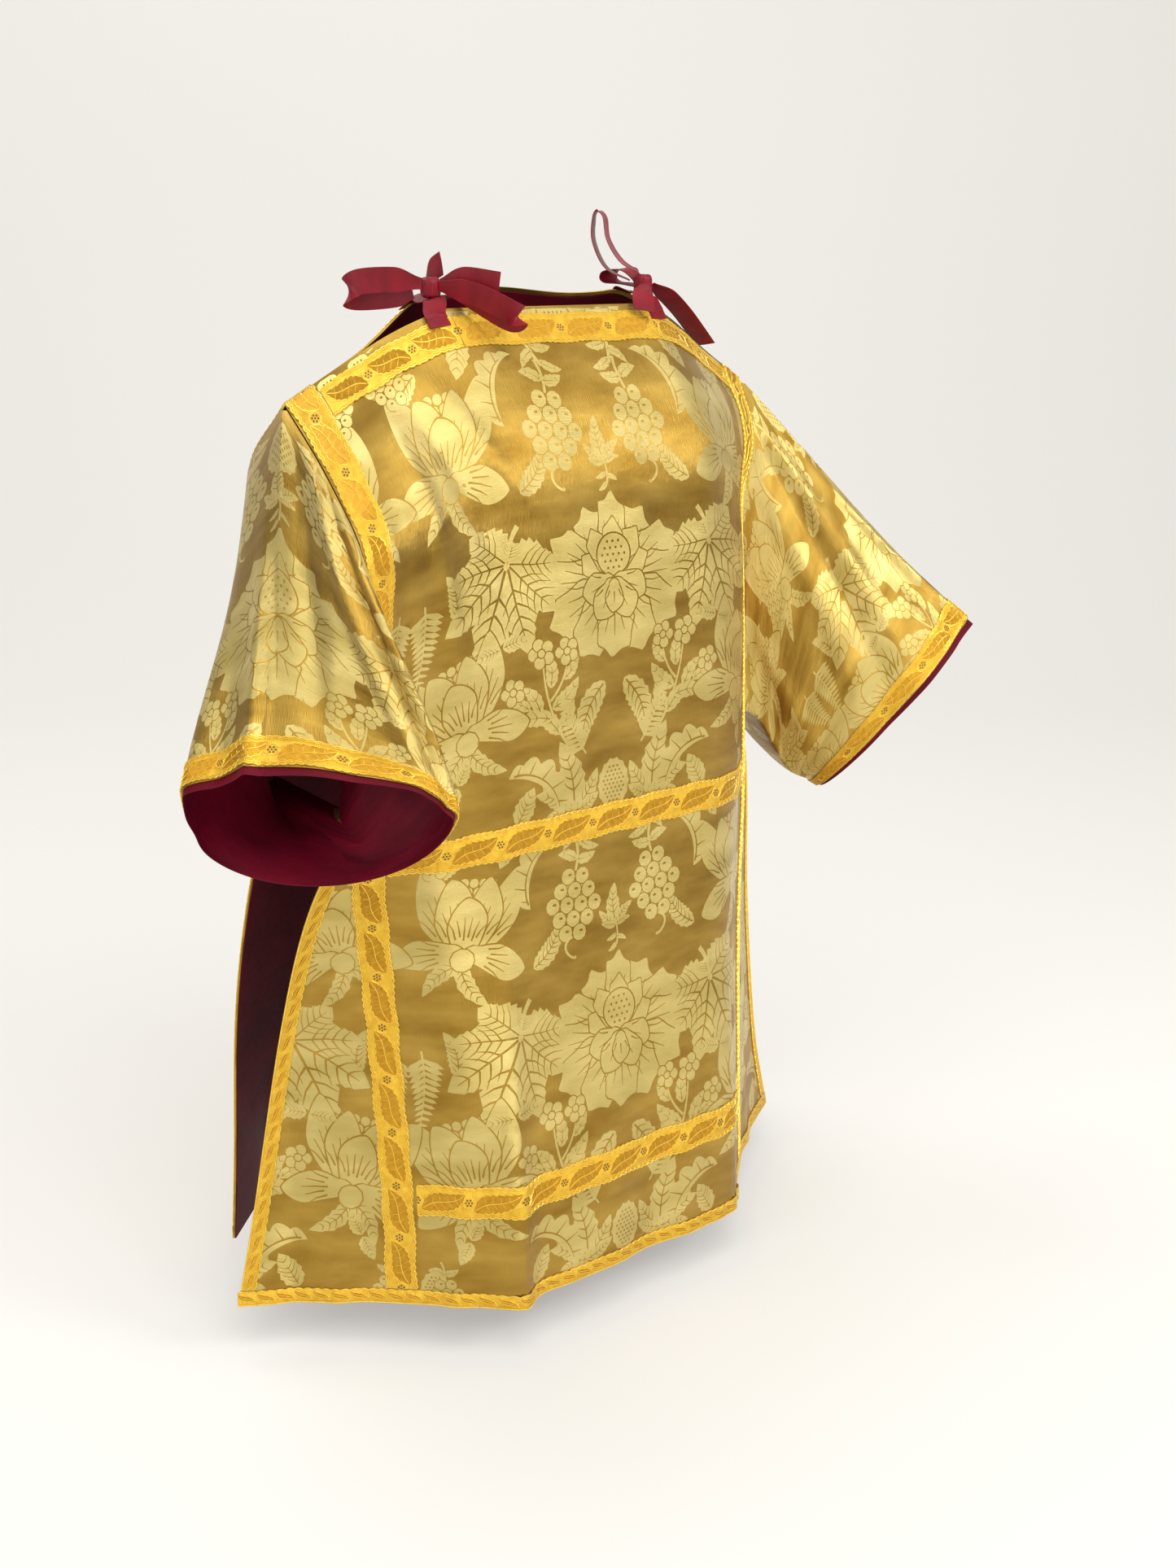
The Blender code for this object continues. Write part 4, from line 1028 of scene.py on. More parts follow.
def panel_cut(panel):
    """The width and length a panel is cut from, and its flat area."""
    x, y = panel_border(panel).T
    area = abs(0.5 * float(np.sum(x * np.roll(y, -1) - np.roll(x, -1) * y)))
    return (2 * float(panel_edge(panel, 1.0)), LENGTH), area


def damask_panel(word, materials):
    panel = PANELS[word]
    surface = CLOTHS[word]

    def inside(flat):
        t = -flat[:, 1] / LENGTH
        return ((np.abs(flat[:, 0]) < panel_edge(panel, np.clip(t, 0, 1)) - EDGE_ROOM)
                & (t > EDGE_ROOM) & (t < 1.0 - EDGE_ROOM))

    def at(flat, lift):
        return surface.at(flat[:, 0], np.clip(-flat[:, 1] / LENGTH, 0, 1), lift)

    border = panel_border(panel)
    figures = laid_figures(PANEL_CENTRES, FIGURE_REACH)
    piece = cloth_wall(word + "_cloth", border, inside, figures, at, materials)
    finish_piece(piece, word + "_panel")
    cut, area = panel_cut(panel)


def damask_sleeve(word, materials):
    surface = SLEEVE_CLOTHS[word]
    half = SLEEVE_AROUND / 2
    end = SLEEVE_LONG * SLEEVE_CLOTH_END
    down = np.linspace(0, end, 40)
    across = np.linspace(-half, half, 80)
    border = np.concatenate([
        np.stack([np.full(40, -half), -down], axis=1),
        np.stack([across, np.full(80, -end)], axis=1)[1:-1],
        np.stack([np.full(40, half), -down[::-1]], axis=1),
        np.stack([across[::-1], np.zeros(80)], axis=1)[1:-1]])

    def inside(flat):
        return ((np.abs(flat[:, 0]) < half - EDGE_ROOM) & (flat[:, 1] < -EDGE_ROOM)
                & (flat[:, 1] > -end + EDGE_ROOM))

    def at(flat, lift):
        return surface.at(flat[:, 0] / SLEEVE_AROUND, -flat[:, 1] / SLEEVE_LONG, lift)

    figures = laid_figures(SLEEVE_CENTRES, half)
    piece = cloth_wall("sleeve_cloth_" + word, border, inside, figures, at, materials)
    finish_piece(piece, "sleeve_" + word)


def lining_panel(word, material):
    """The lining of a panel, in one grid whose sides follow the cut edge."""
    panel = PANELS[word]
    down = np.unique(np.concatenate([np.linspace(LINING_SETBACK, 1.0, LINING_GRID[0]), [GORE_START]]))
    t = np.repeat(down[:, None], LINING_GRID[1], axis=1)
    inset = LINING_SETBACK * (down <= UNDERARM) + 0.0005
    across = np.linspace(-1, 1, LINING_GRID[1])[None, :] * (panel_edge(panel, down) - inset)[:, None]
    flat = np.stack([across, -LENGTH * t], axis=-1)
    cut, area = panel_cut(panel)
    lining_piece(word + "_lining", "lining_" + word, CLOTHS[word], across, t, flat, material)


def lining_sleeve(word, material):
    s = np.linspace(0.02, 1.0, SLEEVE_LINING_GRID[0])
    f = np.linspace(-0.5, 0.5, SLEEVE_LINING_GRID[1])
    f, s = np.meshgrid(f, s)
    flat = np.stack([f * SLEEVE_AROUND, -s * SLEEVE_LONG], axis=-1)
    lining_piece("sleeve_lining_" + word, "lining_sleeve_" + word, SLEEVE_CLOTHS[word], f, s, flat, material)


# Braids. Each has its length, its width and a place function from metres along and across it.


def clavus_braid(side):
    def place(a, b, lift):
        front_t = np.clip(BRAID_END - a / LENGTH, 0, 1)
        back_t = np.clip(a / LENGTH - BRAID_END, 0, BRAID_END)
        front = FRONT_CLOTH.at(side * (FRONT.clavus_middle(front_t) + b), front_t, lift)
        back = BACK_CLOTH.at(side * (BACK.clavus_middle(back_t) + b), back_t, lift)
        return np.where((a / LENGTH <= BRAID_END)[..., None], front, back)

    return 2 * BRAID_END * LENGTH, WIDE_BRAID, place


def crosswise_braid(word, u_from, u_to, t_top, width):
    def place(a, b, lift):
        t = t_top + (width / 2 - b) / LENGTH
        return CLOTHS[word].at(u_from + a * np.sign(u_to - u_from), np.clip(t, 0, 1), lift)

    return abs(u_to - u_from), width, place


def side_edge_braid(word, side):
    panel = PANELS[word]
    start = GORE_START + 0.001
    length = (BRAID_END - start) * LENGTH

    def place(a, b, lift):
        t = start + a / LENGTH
        room = np.minimum(NARROW_BRAID, panel.side_edge(t) - panel.seam(t) - GAP)
        u = panel.side_edge(t) - room / 2 + b * room / NARROW_BRAID
        return CLOTHS[word].at(side * u, t, lift)

    return length, NARROW_BRAID, place


def sleeve_hem_braid(word):
    length = SLEEVE_HEM_ROUND
    middle = (SLEEVE_BRAID_TOP + SLEEVE_CLOTH_END) / 2
    long_share = (SLEEVE_CLOTH_END - SLEEVE_BRAID_TOP) / WIDE_BRAID

    def place(a, b, lift):
        return SLEEVE_CLOTHS[word].at(a / length - 0.5, middle - b * long_share, lift)

    return length, WIDE_BRAID, place


def scallops(a, pitch, depth):
    """How far a scalloped edge stands back from its full width."""
    return depth * (1.0 - np.abs(np.sin(math.pi * a / pitch)) ** 0.7)


def wide_edge(a, pitch):
    """Half the width of the wide braid: small scallops on a slow wave, one wave a repeat."""
    lobes = round(pitch / SCALLOP)
    wave = EDGE_WAVE * (0.5 + 0.5 * np.cos(2 * math.pi * a / pitch))
    return WIDE_BRAID / 2 - 0.0004 - wave - scallops(a, pitch / lobes, SCALLOP_DEPTH)


def braid_ground(length, pitch, width, place, narrow, flip):
    """The woven band itself: a closed strip with scalloped edges."""
    count = int(length / BRAID_STEP) + 2
    a = np.linspace(0, length, count)
    if narrow:
        inner_edge = -width / 2 + scallops(a, pitch / 2, 0.0018)
        outer_edge = np.full(count, width / 2)
        if flip:
            inner_edge, outer_edge = -outer_edge, -inner_edge
    else:
        squeeze = width / WIDE_BRAID
        outer_edge = wide_edge(a, pitch) * squeeze
        inner_edge = -wide_edge(a + pitch / 2, pitch) * squeeze
    share = np.array([0.0, 0.05, 0.5, 0.95, 1.0])
    b = inner_edge[:, None] * (1 - share) + outer_edge[:, None] * share
    a = np.repeat(a[:, None], len(share), axis=1)
    crown = np.array([-0.0003, 0.0, 0.00015, 0.0, -0.0003])
    outer = place(a, b, BRAID_HIGH + np.broadcast_to(crown, b.shape))
    inner = place(a, b, np.full(b.shape, BRAID_LOW))
    return closed_grid(outer, inner, np.stack([a, b], axis=-1))


class Tile:
    """One repeat of a braid's raised pattern, gathered as points and faces for each thread."""

    def __init__(self):
        self.points = []
        self.faces = []
        self.count = 0

    def add(self, points, faces):
        self.points.append(points)
        self.faces += [[self.count + corner for corner in face] for face in faces]
        self.count += len(points)

    def cord(self, line, width, height=1.0):
        """A raised cord along a line in the tile's flat metres."""
        line = np.asarray(line, float)
        way = unit(np.gradient(line, axis=0))
        aside = np.stack([-way[:, 1], way[:, 0]], axis=1)
        taper = np.ones(len(line))
        taper[[0, -1]] = 0.5
        rows = []
        for offset, rise in ((-0.5, 0.0), (-0.22, 0.9), (0.22, 0.9), (0.5, 0.0)):
            place = line + aside * (offset * width * taper)[:, None]
            rows.append(np.column_stack([place, RELIEF * height * rise * taper]))
        faces = [[4 * k + r, 4 * k + r + 4, 4 * k + r + 5, 4 * k + r + 1]
                 for k in range(len(line) - 1) for r in range(3)]
        self.add(np.stack(rows, axis=1).reshape(-1, 3), faces)

    def patch(self, upper, lower, height):
        """A filled shape between two lines, raised along its middle."""
        middle = (upper + lower) / 2
        rows = [np.column_stack([line, np.full(len(line), rise * RELIEF)])
                for line, rise in ((upper, 0.1), (middle, height), (lower, 0.1))]
        faces = [[3 * k + r, 3 * k + r + 3, 3 * k + r + 4, 3 * k + r + 1]
                 for k in range(len(upper) - 1) for r in range(2)]
        self.add(np.stack(rows, axis=1).reshape(-1, 3), faces)

    def dots(self, x, y, ring, radius, number, height):
        for k in range(number + 1):
            angle = 2 * math.pi * k / number
            far = 0.0 if k == number else ring
            rim = disc(x + far * math.cos(angle), y + far * math.sin(angle), radius, 7)
            middle = rim.mean(axis=0)
            points = np.concatenate([np.column_stack([rim, np.full(7, RELIEF * 0.2)]),
                                     [[*middle, RELIEF * height]]])
            self.add(points, [[j, (j + 1) % 7, 7] for j in range(7)])

    def made(self):
        return np.concatenate(self.points), self.faces


def woven_leaf(start, end, bow, width, teeth):
    """The two toothed sides and the spine of a braid's leaf."""
    k = np.linspace(0, 1, 4 * teeth + 1)
    start = np.array(start)
    reach = np.array(end) - start
    aside = np.array([-reach[1], reach[0]]) / np.linalg.norm(reach)
    spine = start + k[:, None] * reach + (bow * np.sin(2 * math.pi * k))[:, None] * aside
    half = width / 2 * np.sin(math.pi * k ** 0.85) ** 0.7 * (1.0 - 0.24 * saw(teeth * k))
    return spine + half[:, None] * aside, spine - half[:, None] * aside, spine


def wide_tile(pitch):
    """The wide braid's repeat: an eye of seven dots, then a slanted toothed leaf."""
    thread, fill, eye = Tile(), Tile(), Tile()
    upper, lower, spine = woven_leaf((0.09 * pitch, -0.0100), (0.94 * pitch, 0.0095), 0.0026, 0.0250, 8)
    fill.patch(upper, lower, 0.5)
    thread.cord(upper, 0.0009)
    thread.cord(lower, 0.0009)
    thread.cord(spine[1:-1:2], 0.0011, 1.5)
    for part in (0.3, 0.45, 0.6, 0.75):
        index = int(part * (len(spine) - 1))
        for line in (upper, lower):
            tip = spine[index] + (line[index] - spine[index]) * 0.72 + [0.0022, 0.0]
            thread.cord([spine[index], (spine[index] + tip) / 2 + [0.0004, 0], tip], 0.0006)
    for x, y in ((0.0, 0.0), (pitch, 0.0)):
        turn = np.linspace(-math.pi / 2, math.pi / 2, 9) + (math.pi if x else 0)
        lobed = 0.0062 + 0.0007 * np.abs(np.sin(3.5 * turn))
        thread.cord(np.stack([x + lobed * np.cos(turn), y + lobed * np.sin(turn)], axis=1), 0.0010)
    eye.dots(0.0, 0.0, 0.0034, 0.00125, 6, 0.5)
    stem = np.linspace(0, 1, 9)
    for sign in (-1, 1):
        sweep = np.stack([pitch * (0.5 + sign * (0.44 - 0.34 * stem)),
                          sign * (-0.0030 - 0.0080 * smooth(stem))], axis=1)
        thread.cord(sweep, 0.0008)
        x = np.linspace(0, pitch, 33)
        shift = 0 if sign > 0 else pitch / 2
        edge = wide_edge(x + shift, pitch)
        for inward, width in ((0.0009, 0.0014), (0.0034, 0.0009)):
            thread.cord(np.stack([x, sign * (edge - inward)], axis=1), width)
    return thread.made(), fill.made(), eye.made()


def narrow_tile(pitch):
    """The narrow braid's repeat: a slanted leaf, a scalloped cord and the piped edge."""
    thread, fill = Tile(), Tile()
    x = np.linspace(0, pitch, 13)
    thread.cord(np.stack([x, np.full(13, 0.0080)], axis=1), 0.0015, 1.2)
    thread.cord(np.stack([x, -0.0082 + scallops(x, pitch / 2, 0.0018)], axis=1), 0.0012)
    upper, lower, spine = woven_leaf((0.02 * pitch, -0.0048), (0.98 * pitch, 0.0050), 0.0010, 0.0062, 4)
    fill.patch(upper, lower, 0.6)
    thread.cord(upper, 0.0008)
    thread.cord(lower, 0.0008)
    thread.cord(spine[1:-1:2], 0.0008, 1.4)
    return thread.made(), fill.made()


def repeat_tree():
    """Nodes that lay a tile over and over along x, then give it its material."""
    tree = bpy.data.node_groups.new("Repeat along a braid", "GeometryNodeTree")
    tree.interface.new_socket("Geometry", in_out="OUTPUT", socket_type="NodeSocketGeometry")
    for label, kind in (("Tile", "Geometry"), ("Count", "Int"), ("Pitch", "Float"), ("Thread", "Material")):
        tree.interface.new_socket(label, in_out="INPUT", socket_type="NodeSocket" + kind)
    kinds = {"given": "NodeGroupInput", "result": "NodeGroupOutput", "row": "GeometryNodeMeshLine",
             "step": "ShaderNodeCombineXYZ", "copies": "GeometryNodeInstanceOnPoints",
             "real": "GeometryNodeRealizeInstances", "paint": "GeometryNodeSetMaterial"}
    made = {word: tree.nodes.new(kind) for word, kind in kinds.items()}
    for start, output, end, entry in (
            ("given", "Count", "row", "Count"), ("given", "Pitch", "step", "X"),
            ("step", "Vector", "row", "Offset"), ("row", "Mesh", "copies", "Points"),
            ("given", "Tile", "copies", "Instance"),
            ("copies", "Instances", "real", "Geometry"), ("real", "Geometry", "paint", "Geometry"),
            ("given", "Thread", "paint", "Material"), ("paint", "Geometry", "result", "Geometry")):
        tree.links.new(made[start].outputs[output], made[end].inputs[entry])
    return tree


REPEAT = repeat_tree()


def repeated(points, faces, count, pitch, material):
    """The tile's points and faces laid count times, through the node tree."""
    mesh = bpy.data.meshes.new("tile")
    mesh.from_pydata(points.tolist(), [], faces)
    tile = bpy.data.objects.new("tile", mesh)
    bpy.context.collection.objects.link(tile)
    modifier = tile.modifiers.new("Repeat", "NODES")
    modifier.node_group = REPEAT
    sockets = {item.name: item.identifier for item in REPEAT.interface.items_tree
               if item.in_out == "INPUT"}
    modifier[sockets["Count"]] = count
    modifier[sockets["Pitch"]] = pitch
    modifier[sockets["Thread"]] = material
    graph = bpy.context.evaluated_depsgraph_get()
    laid = bpy.data.meshes.new_from_object(tile.evaluated_get(graph))
    places = np.zeros(len(laid.vertices) * 3)
    laid.vertices.foreach_get("co", places)
    corners = [list(polygon.vertices) for polygon in laid.polygons]
    bpy.data.objects.remove(tile)
    bpy.data.meshes.remove(laid)
    return places.reshape(-1, 3), corners


def braid(name, node, measure, materials, narrow=False, flip=False):
    length, width, place = measure
    count = max(1, round(length / (NARROW_REPEAT if narrow else WIDE_REPEAT)))
    pitch = length / count
    points, faces, flat = braid_ground(length, pitch, width, place, narrow, flip)
    points, flat = [points], [flat]
    indices = [0] * len(faces)
    squeeze = (width - 0.0004) / (NARROW_BRAID if narrow else WIDE_BRAID) * (-1 if flip else 1)
    start = len(points[0])
    for thread, tile in enumerate(narrow_tile(pitch) if narrow else wide_tile(pitch), 1):
        relief, corners = repeated(*tile, count, pitch, materials[thread])
        a = np.clip(relief[:, 0], 0, length)
        b = relief[:, 1] * squeeze
        raised = place(a, b, BRAID_HIGH + THREAD_CLEAR + relief[:, 2])
        first = corners[0]
        way = np.cross(raised[first[1]] - raised[first[0]], raised[first[2]] - raised[first[0]])
        out = place(a[first[:1]], b[first[:1]], np.array([0.01])) - place(a[first[:1]], b[first[:1]], 0.0)
        if np.dot(way, out[0]) < 0:
            corners = [list(reversed(corner)) for corner in corners]
        faces += [[start + corner for corner in face] for face in corners]
        indices += [thread] * len(corners)
        points.append(raised)
        flat.append(np.stack([a, b], axis=1))
        start += len(raised)
    piece = make_object(name, np.concatenate(points), faces, materials, indices, np.concatenate(flat))
    finish_piece(piece, node)


# Ribbons


def ribbon_curve(points, count):
    """A smooth run through a strand's points."""
    points = np.array(points, float)
    places = np.linspace(0, len(points) - 1, count)
    k = np.clip(places.astype(int), 0, len(points) - 2)
    start, start_way, end, end_way = blend_weights((places - k)[:, None])
    ways = np.gradient(points, axis=0)
    return (start * points[k] + start_way * ways[k]
            + end * points[k + 1] + end_way * ways[k + 1])


def ribbon_piece(name, node, line, ways, widths, material):
    """A strip of ribbon with softly rounded faces and a straight weave along it."""
    along = unit(np.gradient(line, axis=0))
    ways = unit(ways - along * np.sum(ways * along, axis=1, keepdims=True))
    face = np.cross(along, ways)
    share = np.linspace(-0.5, 0.5, 9)
    bow = 0.0006 * np.cos(share * math.pi)
    middle = line[:, None, :] + ways[:, None, :] * (widths[:, None] * share)[..., None]
    middle = middle + face[:, None, :] * bow[None, :, None]
    thick = face[:, None, :] * RIBBON_THICK * 0.4
    run = np.concatenate([[0], np.cumsum(np.linalg.norm(np.diff(line, axis=0), axis=1))])
    flat = np.stack(np.broadcast_arrays(run[:, None], share[None, :] * RIBBON_WIDTH), axis=-1)
    points, faces, flat = closed_grid(middle + thick, middle - thick, flat)
    finish_piece(make_object(name, points, faces, [material], None, flat), node)


def strand_piece(name, node, bow, points, first_way, last_way, material):
    local = np.array([[bow["side"], 0, 0], [0, -1, 0], [0, 0, 1]], float)
    count = 10 * len(points)
    line = ribbon_curve(points, count) @ local
    share = np.linspace(0, 1, count)[:, None]
    ways = (np.array(first_way) * (1 - share) + np.array(last_way) * share) @ local
    away = np.clip((np.linalg.norm(line, axis=1) - KNOT_SIZE[0] / 2) / GATHER_OVER, 0, 1)
    widths = RIBBON_WIDTH * (RIBBON_GATHER + (1 - RIBBON_GATHER) * smooth(away))
    return ribbon_piece(name, node, line + np.array(bow["knot"]), ways, widths, material)


def tie_piece(name, node, bow, material):
    """The ribbon under the knot, from the slit's front edge to its back edge."""
    side = bow["side"]
    place = np.array(bow["knot"])
    down = np.array(TIE_DOWN)
    front = FRONT_CLOTH.at(side * bow["across"], down, TIE_LIFT + RIBBON_THICK / 2)
    back = BACK_CLOTH.at(side * (bow["across"] + BACK_CORNER - NECK_HALF), down[::-1],
                         TIE_LIFT + RIBBON_THICK / 2)
    under = place - [0, 0, KNOT_SIZE[2] / 2 + RIBBON_THICK / 2 + GAP]
    points = np.concatenate([front, [under + [0, -0.007, 0], under + [0, 0.009, 0]], back])
    line = ribbon_curve(points, 50)
    ways = np.tile([side * 0.95, 0.0, -0.25], (50, 1))
    ribbon_piece(name, node, line, ways, np.full(50, RIBBON_WIDTH * 0.96), material)


def knot_piece(name, node, bow, material):
    """The knot: a tight wrap with folds that run over it."""
    rows, columns = 25, 48
    lat, lon = np.meshgrid(np.linspace(-1, 1, rows) * math.pi / 2,
                           np.linspace(0, 2 * math.pi, columns, endpoint=False), indexing="ij")
    power = 0.55
    x = np.sign(np.cos(lat) * np.cos(lon)) * np.abs(np.cos(lat) * np.cos(lon)) ** power
    y = np.sign(np.cos(lat) * np.sin(lon)) * np.abs(np.cos(lat) * np.sin(lon)) ** power
    z = np.sign(np.sin(lat)) * np.abs(np.sin(lat)) ** power
    fold = 1.0 + 0.035 * np.cos(16 * x + 3 * z) - 0.05 * np.exp(-((x - 0.2 * z) / 0.10) ** 2)
    points = np.stack([x * KNOT_SIZE[0], y * KNOT_SIZE[1] * fold, z * KNOT_SIZE[2] * fold], axis=-1) / 2
    points = points.reshape(-1, 3) * 0.98 + np.array(bow["knot"])
    faces = []
    for j in range(rows - 1):
        for i in range(columns):
            k = (i + 1) % columns
            faces.append([j * columns + i, j * columns + k, (j + 1) * columns + k, (j + 1) * columns + i])
    flat = np.stack([lon.ravel() * 0.01, lat.ravel() * 0.01], axis=1)
    piece = make_object(name, points, faces, [material], None, flat)
    finish_piece(piece, node)


# Materials


def shader(name, colour, roughness, **values):
    material = bpy.data.materials.new(name)
    material.use_nodes = True
    surface = material.node_tree.nodes["Principled BSDF"]
    surface.inputs["Base Color"].default_value = (*colour, 1.0)
    surface.inputs["Roughness"].default_value = roughness
    for label, value in values.items():
        surface.inputs[label.replace("_", " ")].default_value = value
    return material


def cloth_place(material, scale):
    """The cloth's own metres, stretched for one kind of thread."""
    nodes = material.node_tree.nodes
    place = nodes.new("ShaderNodeUVMap")
    place.uv_map = "cloth"
    mapping = nodes.new("ShaderNodeMapping")
    mapping.inputs["Scale"].default_value = scale
    material.node_tree.links.new(place.outputs["UV"], mapping.inputs["Vector"])
    return mapping.outputs["Vector"]


def thread_noise(material, scale, detail=3.0):
    noise = material.node_tree.nodes.new("ShaderNodeTexNoise")
    noise.inputs["Scale"].default_value = 1.0
    noise.inputs["Detail"].default_value = detail
    material.node_tree.links.new(cloth_place(material, scale), noise.inputs["Vector"])
    return noise.outputs["Fac"]


def tint(material, factor, dark, light):
    """The base colour, worked between two shades by a factor."""
    nodes = material.node_tree.nodes
    ramp = nodes.new("ShaderNodeValToRGB")
    ramp.color_ramp.elements[0].position = 0.30
    ramp.color_ramp.elements[0].color = (*dark, 1.0)
    ramp.color_ramp.elements[1].position = 0.70
    ramp.color_ramp.elements[1].color = (*light, 1.0)
    links = material.node_tree.links
    links.new(factor, ramp.inputs["Fac"])
    links.new(ramp.outputs["Color"], nodes["Principled BSDF"].inputs["Base Color"])


def bumped(material, heights, distance):
    """Bump from a list of height outputs and their strengths."""
    nodes = material.node_tree.nodes
    links = material.node_tree.links
    normal = None
    for height, strength in heights:
        bump = nodes.new("ShaderNodeBump")
        bump.inputs["Strength"].default_value = strength
        bump.inputs["Distance"].default_value = distance
        links.new(height, bump.inputs["Height"])
        if normal:
            links.new(normal, bump.inputs["Normal"])
        normal = bump.outputs["Normal"]
    links.new(normal, nodes["Principled BSDF"].inputs["Normal"])


def along_threads(material, turn):
    """Stretches highlights across the floating threads of a satin."""
    nodes = material.node_tree.nodes
    tangent = nodes.new("ShaderNodeTangent")
    tangent.direction_type = "UV_MAP"
    tangent.uv_map = "cloth"
    nodes["Principled BSDF"].inputs["Anisotropic Rotation"].default_value = turn
    material.node_tree.links.new(tangent.outputs["Tangent"], nodes["Principled BSDF"].inputs["Tangent"])


def weave(material, pitch_across, pitch_down):
    """Regular thread ridges both ways."""
    nodes = material.node_tree.nodes
    links = material.node_tree.links
    heights = []
    for axis, pitch in (("X", pitch_across), ("Y", pitch_down)):
        if not pitch:
            continue
        wave = nodes.new("ShaderNodeTexWave")
        wave.wave_type = "BANDS"
        wave.bands_direction = axis
        wave.inputs["Scale"].default_value = 0.314 / pitch
        links.new(cloth_place(material, (1, 1, 1)), wave.inputs["Vector"])
        heights.append(wave.outputs["Fac"])
    return heights


def cloth_material(name, colour, roughness, spots, dark, light, threads=None, soft=0.0, weaves=None,
                   distance=0.0003, turn=None, sheen=None, **values):
    """A cloth: tinted in spots, with threads, soft spots or a weave as bump, and a turned shine."""
    material = shader(name, colour, roughness, **values)
    if sheen:
        material.node_tree.nodes["Principled BSDF"].inputs["Sheen Tint"].default_value = (*sheen, 1)
    cloud = thread_noise(material, (*spots, 1))
    tint(material, cloud, dark, light)
    heights = []
    if threads:
        heights.append((thread_noise(material, (*threads[:2], 1)), threads[2]))
    if soft:
        heights.append((cloud, soft))
    if weaves:
        heights += [(height, weaves[2]) for height in weave(material, *weaves[:2])]
    if heights:
        bumped(material, heights, distance)
    if turn is not None:
        along_threads(material, turn)
    return material


def damask_materials():
    """Satin ground with long threads down the cloth, and figures with threads across it."""
    return [
        cloth_material("damask_ground", (0.36, 0.19, 0.018), 0.37, (11, 30), (0.29, 0.160, 0.018),
                       (0.50, 0.315, 0.058), threads=(1500, 70, 0.30), soft=0.55, distance=0.0022, turn=0.0,
                       Metallic=0.92, Anisotropic=0.62, Sheen_Weight=0.06),
        cloth_material("damask_figure", (0.54, 0.40, 0.09), 0.38, (11, 30), (0.50, 0.375, 0.095),
                       (0.70, 0.55, 0.19), threads=(70, 1500, 0.30), soft=0.45, distance=0.0022, turn=0.25,
                       Metallic=0.66, Anisotropic=0.62, Sheen_Weight=0.10)]


def braid_materials():
    """The braids' woven field, raised threads, leaves and eyes."""
    return [
        cloth_material("braid_field", (0.80, 0.45, 0.03), 0.36, (90, 90), (0.68, 0.38, 0.016),
                       (0.86, 0.55, 0.045), weaves=(0.0014, 0.0007, 0.5), Metallic=0.60, Sheen_Weight=0.06),
        cloth_material("braid_thread", (1.0, 0.70, 0.10), 0.30, (200, 200), (0.95, 0.60, 0.06),
                       (1.0, 0.78, 0.16), threads=(1500, 900, 0.5), Metallic=0.70),
        cloth_material("braid_leaf", (0.55, 0.29, 0.012), 0.38, (160, 160), (0.46, 0.22, 0.007),
                       (0.62, 0.33, 0.016), weaves=(0.0007, None, 0.6), Metallic=0.65),
        cloth_material("braid_eye", (0.16, 0.06, 0.006), 0.6, (400, 400), (0.11, 0.04, 0.004),
                       (0.22, 0.09, 0.010))]


def studio(pale):
    """A pale floor that curves up into a wall, soft lights and the camera."""
    profile = [(-6.0, FLOOR_HEIGHT), (FLOOR_FLAT, FLOOR_HEIGHT)]
    for k in range(1, 13):
        angle = k / 12 * math.pi / 2
        profile.append((FLOOR_FLAT + FLOOR_CURVE * math.sin(angle),
                        FLOOR_HEIGHT + FLOOR_CURVE * (1 - math.cos(angle))))
    profile.append((FLOOR_FLAT + FLOOR_CURVE, 7.0))
    turn = math.radians(CAMERA_AZIMUTH)
    forward = np.array([-math.sin(turn), math.cos(turn), 0.0])
    right = np.array([math.cos(turn), math.sin(turn), 0.0])
    points = []
    for side in (-9.0, 9.0):
        for away, height in profile:
            points.append(forward * away + right * side + [0, 0, height])
    count = len(profile)
    faces = [[k, k + 1, count + k + 1, count + k] for k in range(count - 1)]
    mesh = bpy.data.meshes.new("floor")
    mesh.from_pydata([tuple(point) for point in points], [], faces)
    mesh.materials.append(pale)
    mesh.shade_smooth()
    floor = bpy.data.objects.new("floor", mesh)
    bpy.context.collection.objects.link(floor)
    for name, place, aim, size, power in STUDIO_LIGHTS:
        lamp = bpy.data.lights.new(name, "AREA")
        lamp.shape = "DISK"
        lamp.size = size
        lamp.energy = power
        light = bpy.data.objects.new(name, lamp)
        light.location = place
        light.rotation_euler = (Vector(aim) - Vector(place)).to_track_quat("-Z", "Y").to_euler()
        bpy.context.collection.objects.link(light)
    world = bpy.data.worlds.new("studio")
    world.use_nodes = True
    world.node_tree.nodes["Background"].inputs["Color"].default_value = (1.0, 0.985, 0.96, 1.0)
    world.node_tree.nodes["Background"].inputs["Strength"].default_value = WORLD_STRENGTH
    bpy.context.scene.world = world
    camera = bpy.data.cameras.new("camera")
    camera.sensor_fit = "VERTICAL"
    camera.sensor_height = 36.0
    camera.lens = CAMERA_LENS
    eye = bpy.data.objects.new("camera", camera)
    eye.location = CAMERA_PLACE
    eye.rotation_euler = (math.radians(90 - CAMERA_PITCH), 0, math.radians(CAMERA_AZIMUTH))
    bpy.context.collection.objects.link(eye)
    bpy.context.scene.camera = eye
    bpy.context.scene.view_settings.view_transform = "Standard"


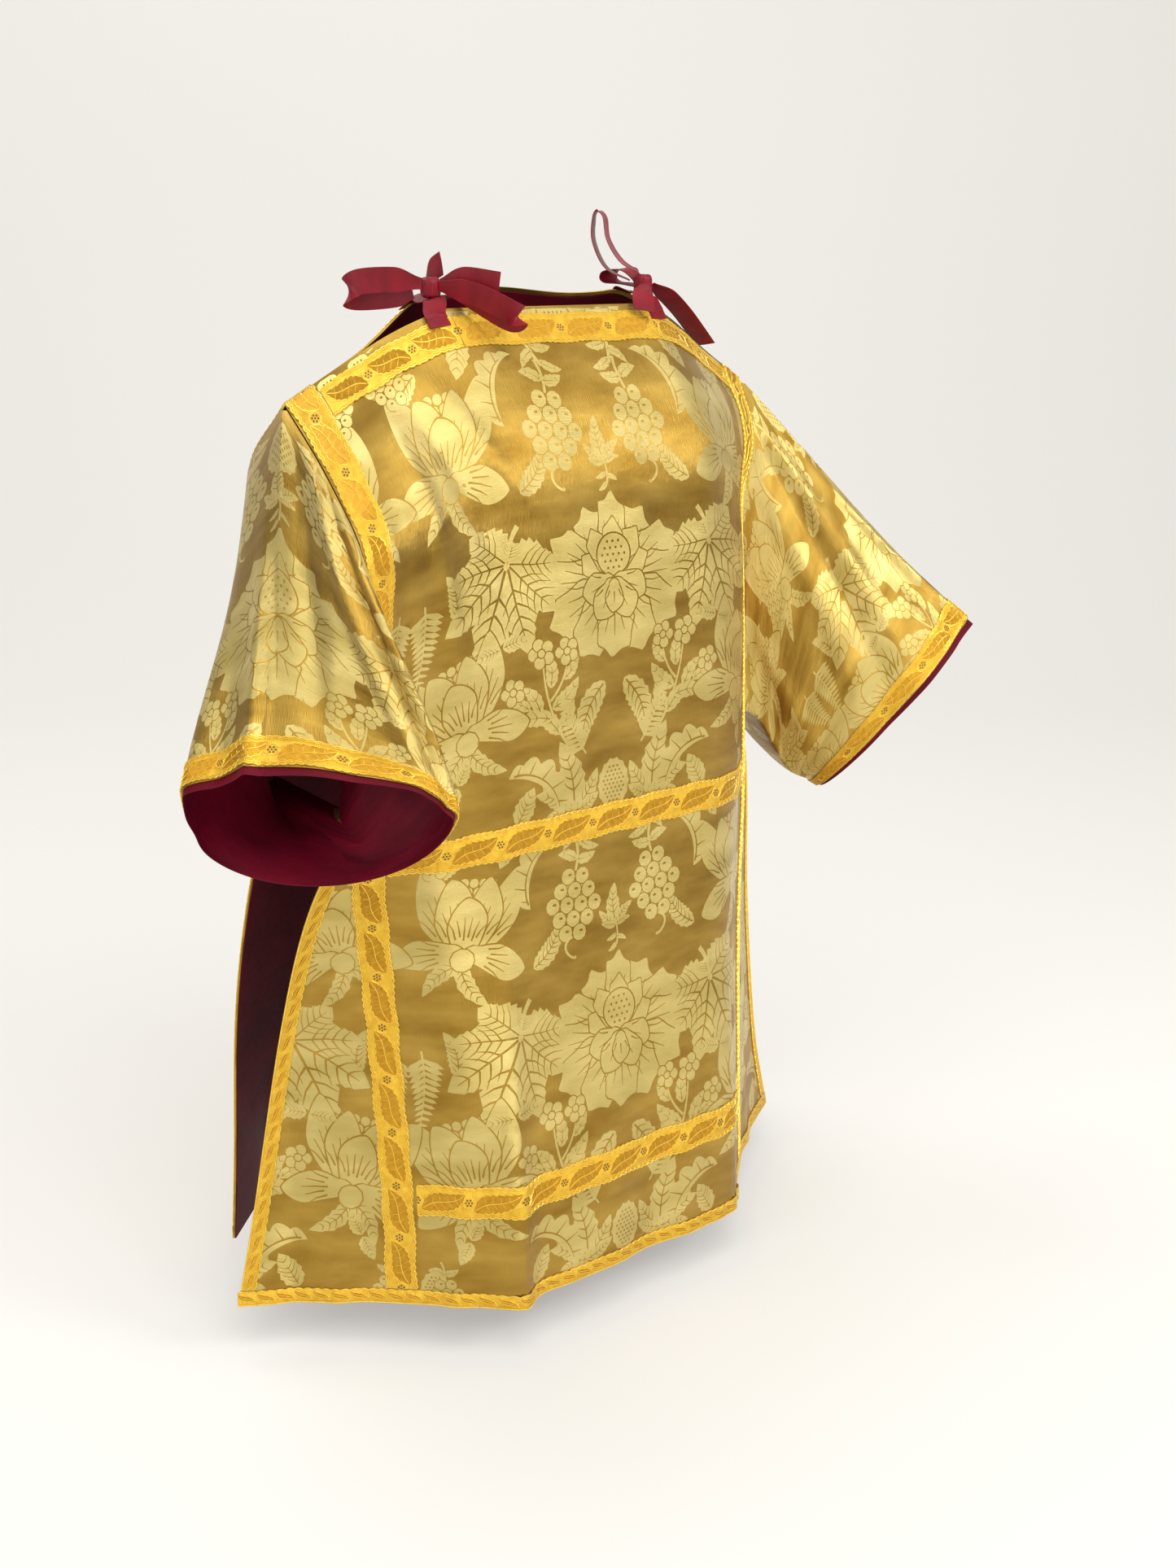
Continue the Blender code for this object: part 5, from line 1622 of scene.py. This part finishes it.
def dress():
    damask = damask_materials()
    woven = braid_materials()

    def wide(name, node, measure):
        braid(name, node, measure, woven)

    def narrow(name, node, measure, flip=False):
        braid(name, node, measure, woven, narrow=True, flip=flip)

    lining = cloth_material("crimson_lining", (0.13, 0.003, 0.012), 0.50, (9, 14), (0.070, 0.0010, 0.007),
                            (0.15, 0.002, 0.014), threads=(1200, 80, 0.25), soft=0.8, distance=0.0030,
                            sheen=(0.7, 0.05, 0.12), Sheen_Weight=0.03, Specular_IOR_Level=0.12)
    ribbon = cloth_material("crimson_ribbon", (0.34, 0.003, 0.016), 0.42, (60, 20), (0.16, 0.0007, 0.006),
                            (0.26, 0.0015, 0.012), weaves=(0.0009, None, 0.6), distance=0.0004, turn=0.0,
                            sheen=(0.9, 0.1, 0.2), Anisotropic=0.5, Sheen_Weight=0.04,
                            Specular_IOR_Level=0.35)
    for word in ("front", "back"):
        panel = PANELS[word]
        damask_panel(word, damask)
        lining_panel(word, lining)
        corner = panel.corner
        inner = float(panel.clavus_inner(0.0))
        hem = float(panel.side_edge(1.0))
        top = (EDGE_STRIP / LENGTH, WIDE_BRAID - EDGE_STRIP - 0.0004)
        wide("neck_braid_" + word, "braid_neck_" + word,
             crosswise_braid(word, -corner + GAP, corner - GAP, *top))
        for side_word, side in SIDES:
            both = word + "_" + side_word
            wide("slit_braid_" + both, "braid_slit_" + both,
                 crosswise_braid(word, side * (corner + GAP), side * (inner - GAP), *top))
            narrow("side_braid_" + both, "braid_side_" + both, side_edge_braid(word, side))
        for band_word, down in (("mid", BAND_MID), ("low", BAND_LOW)):
            reach = float(panel.clavus_inner(down + BAND_MIDDLE)) - BAND_CLEAR
            wide("band_" + band_word + "_braid_" + word, "band_" + band_word + "_" + word,
                 crosswise_braid(word, -reach, reach, down, WIDE_BRAID))
        narrow("hem_braid_" + word, "braid_hem_" + word, crosswise_braid(word, -hem, hem, *HEM_BRAID),
               flip=True)
    for word, side in SIDES:
        wide("clavus_braid_" + word, "clavus_" + word, clavus_braid(side))
        damask_sleeve(word, damask)
        lining_sleeve(word, lining)
        wide("sleeve_braid_" + word, "braid_sleeve_" + word, sleeve_hem_braid(word))
        bow = BOWS[word]
        start = "bow_" + word + "_"
        knot_piece(start + "knot_cloth", start + "knot", bow, ribbon)
        tie_piece(start + "tie_cloth", start + "tie", bow, ribbon)
        for strand_word, *strand in bow["strands"]:
            name = start + strand_word
            strand_piece(name + "_cloth", name, bow, *strand, ribbon)


dress()
pale = shader("pale_floor", (0.50, 0.49, 0.47), 0.9, Emission_Strength=0.36)
pale.node_tree.nodes["Principled BSDF"].inputs["Emission Color"].default_value = (1.0, 0.975, 0.92, 1.0)
studio(pale)
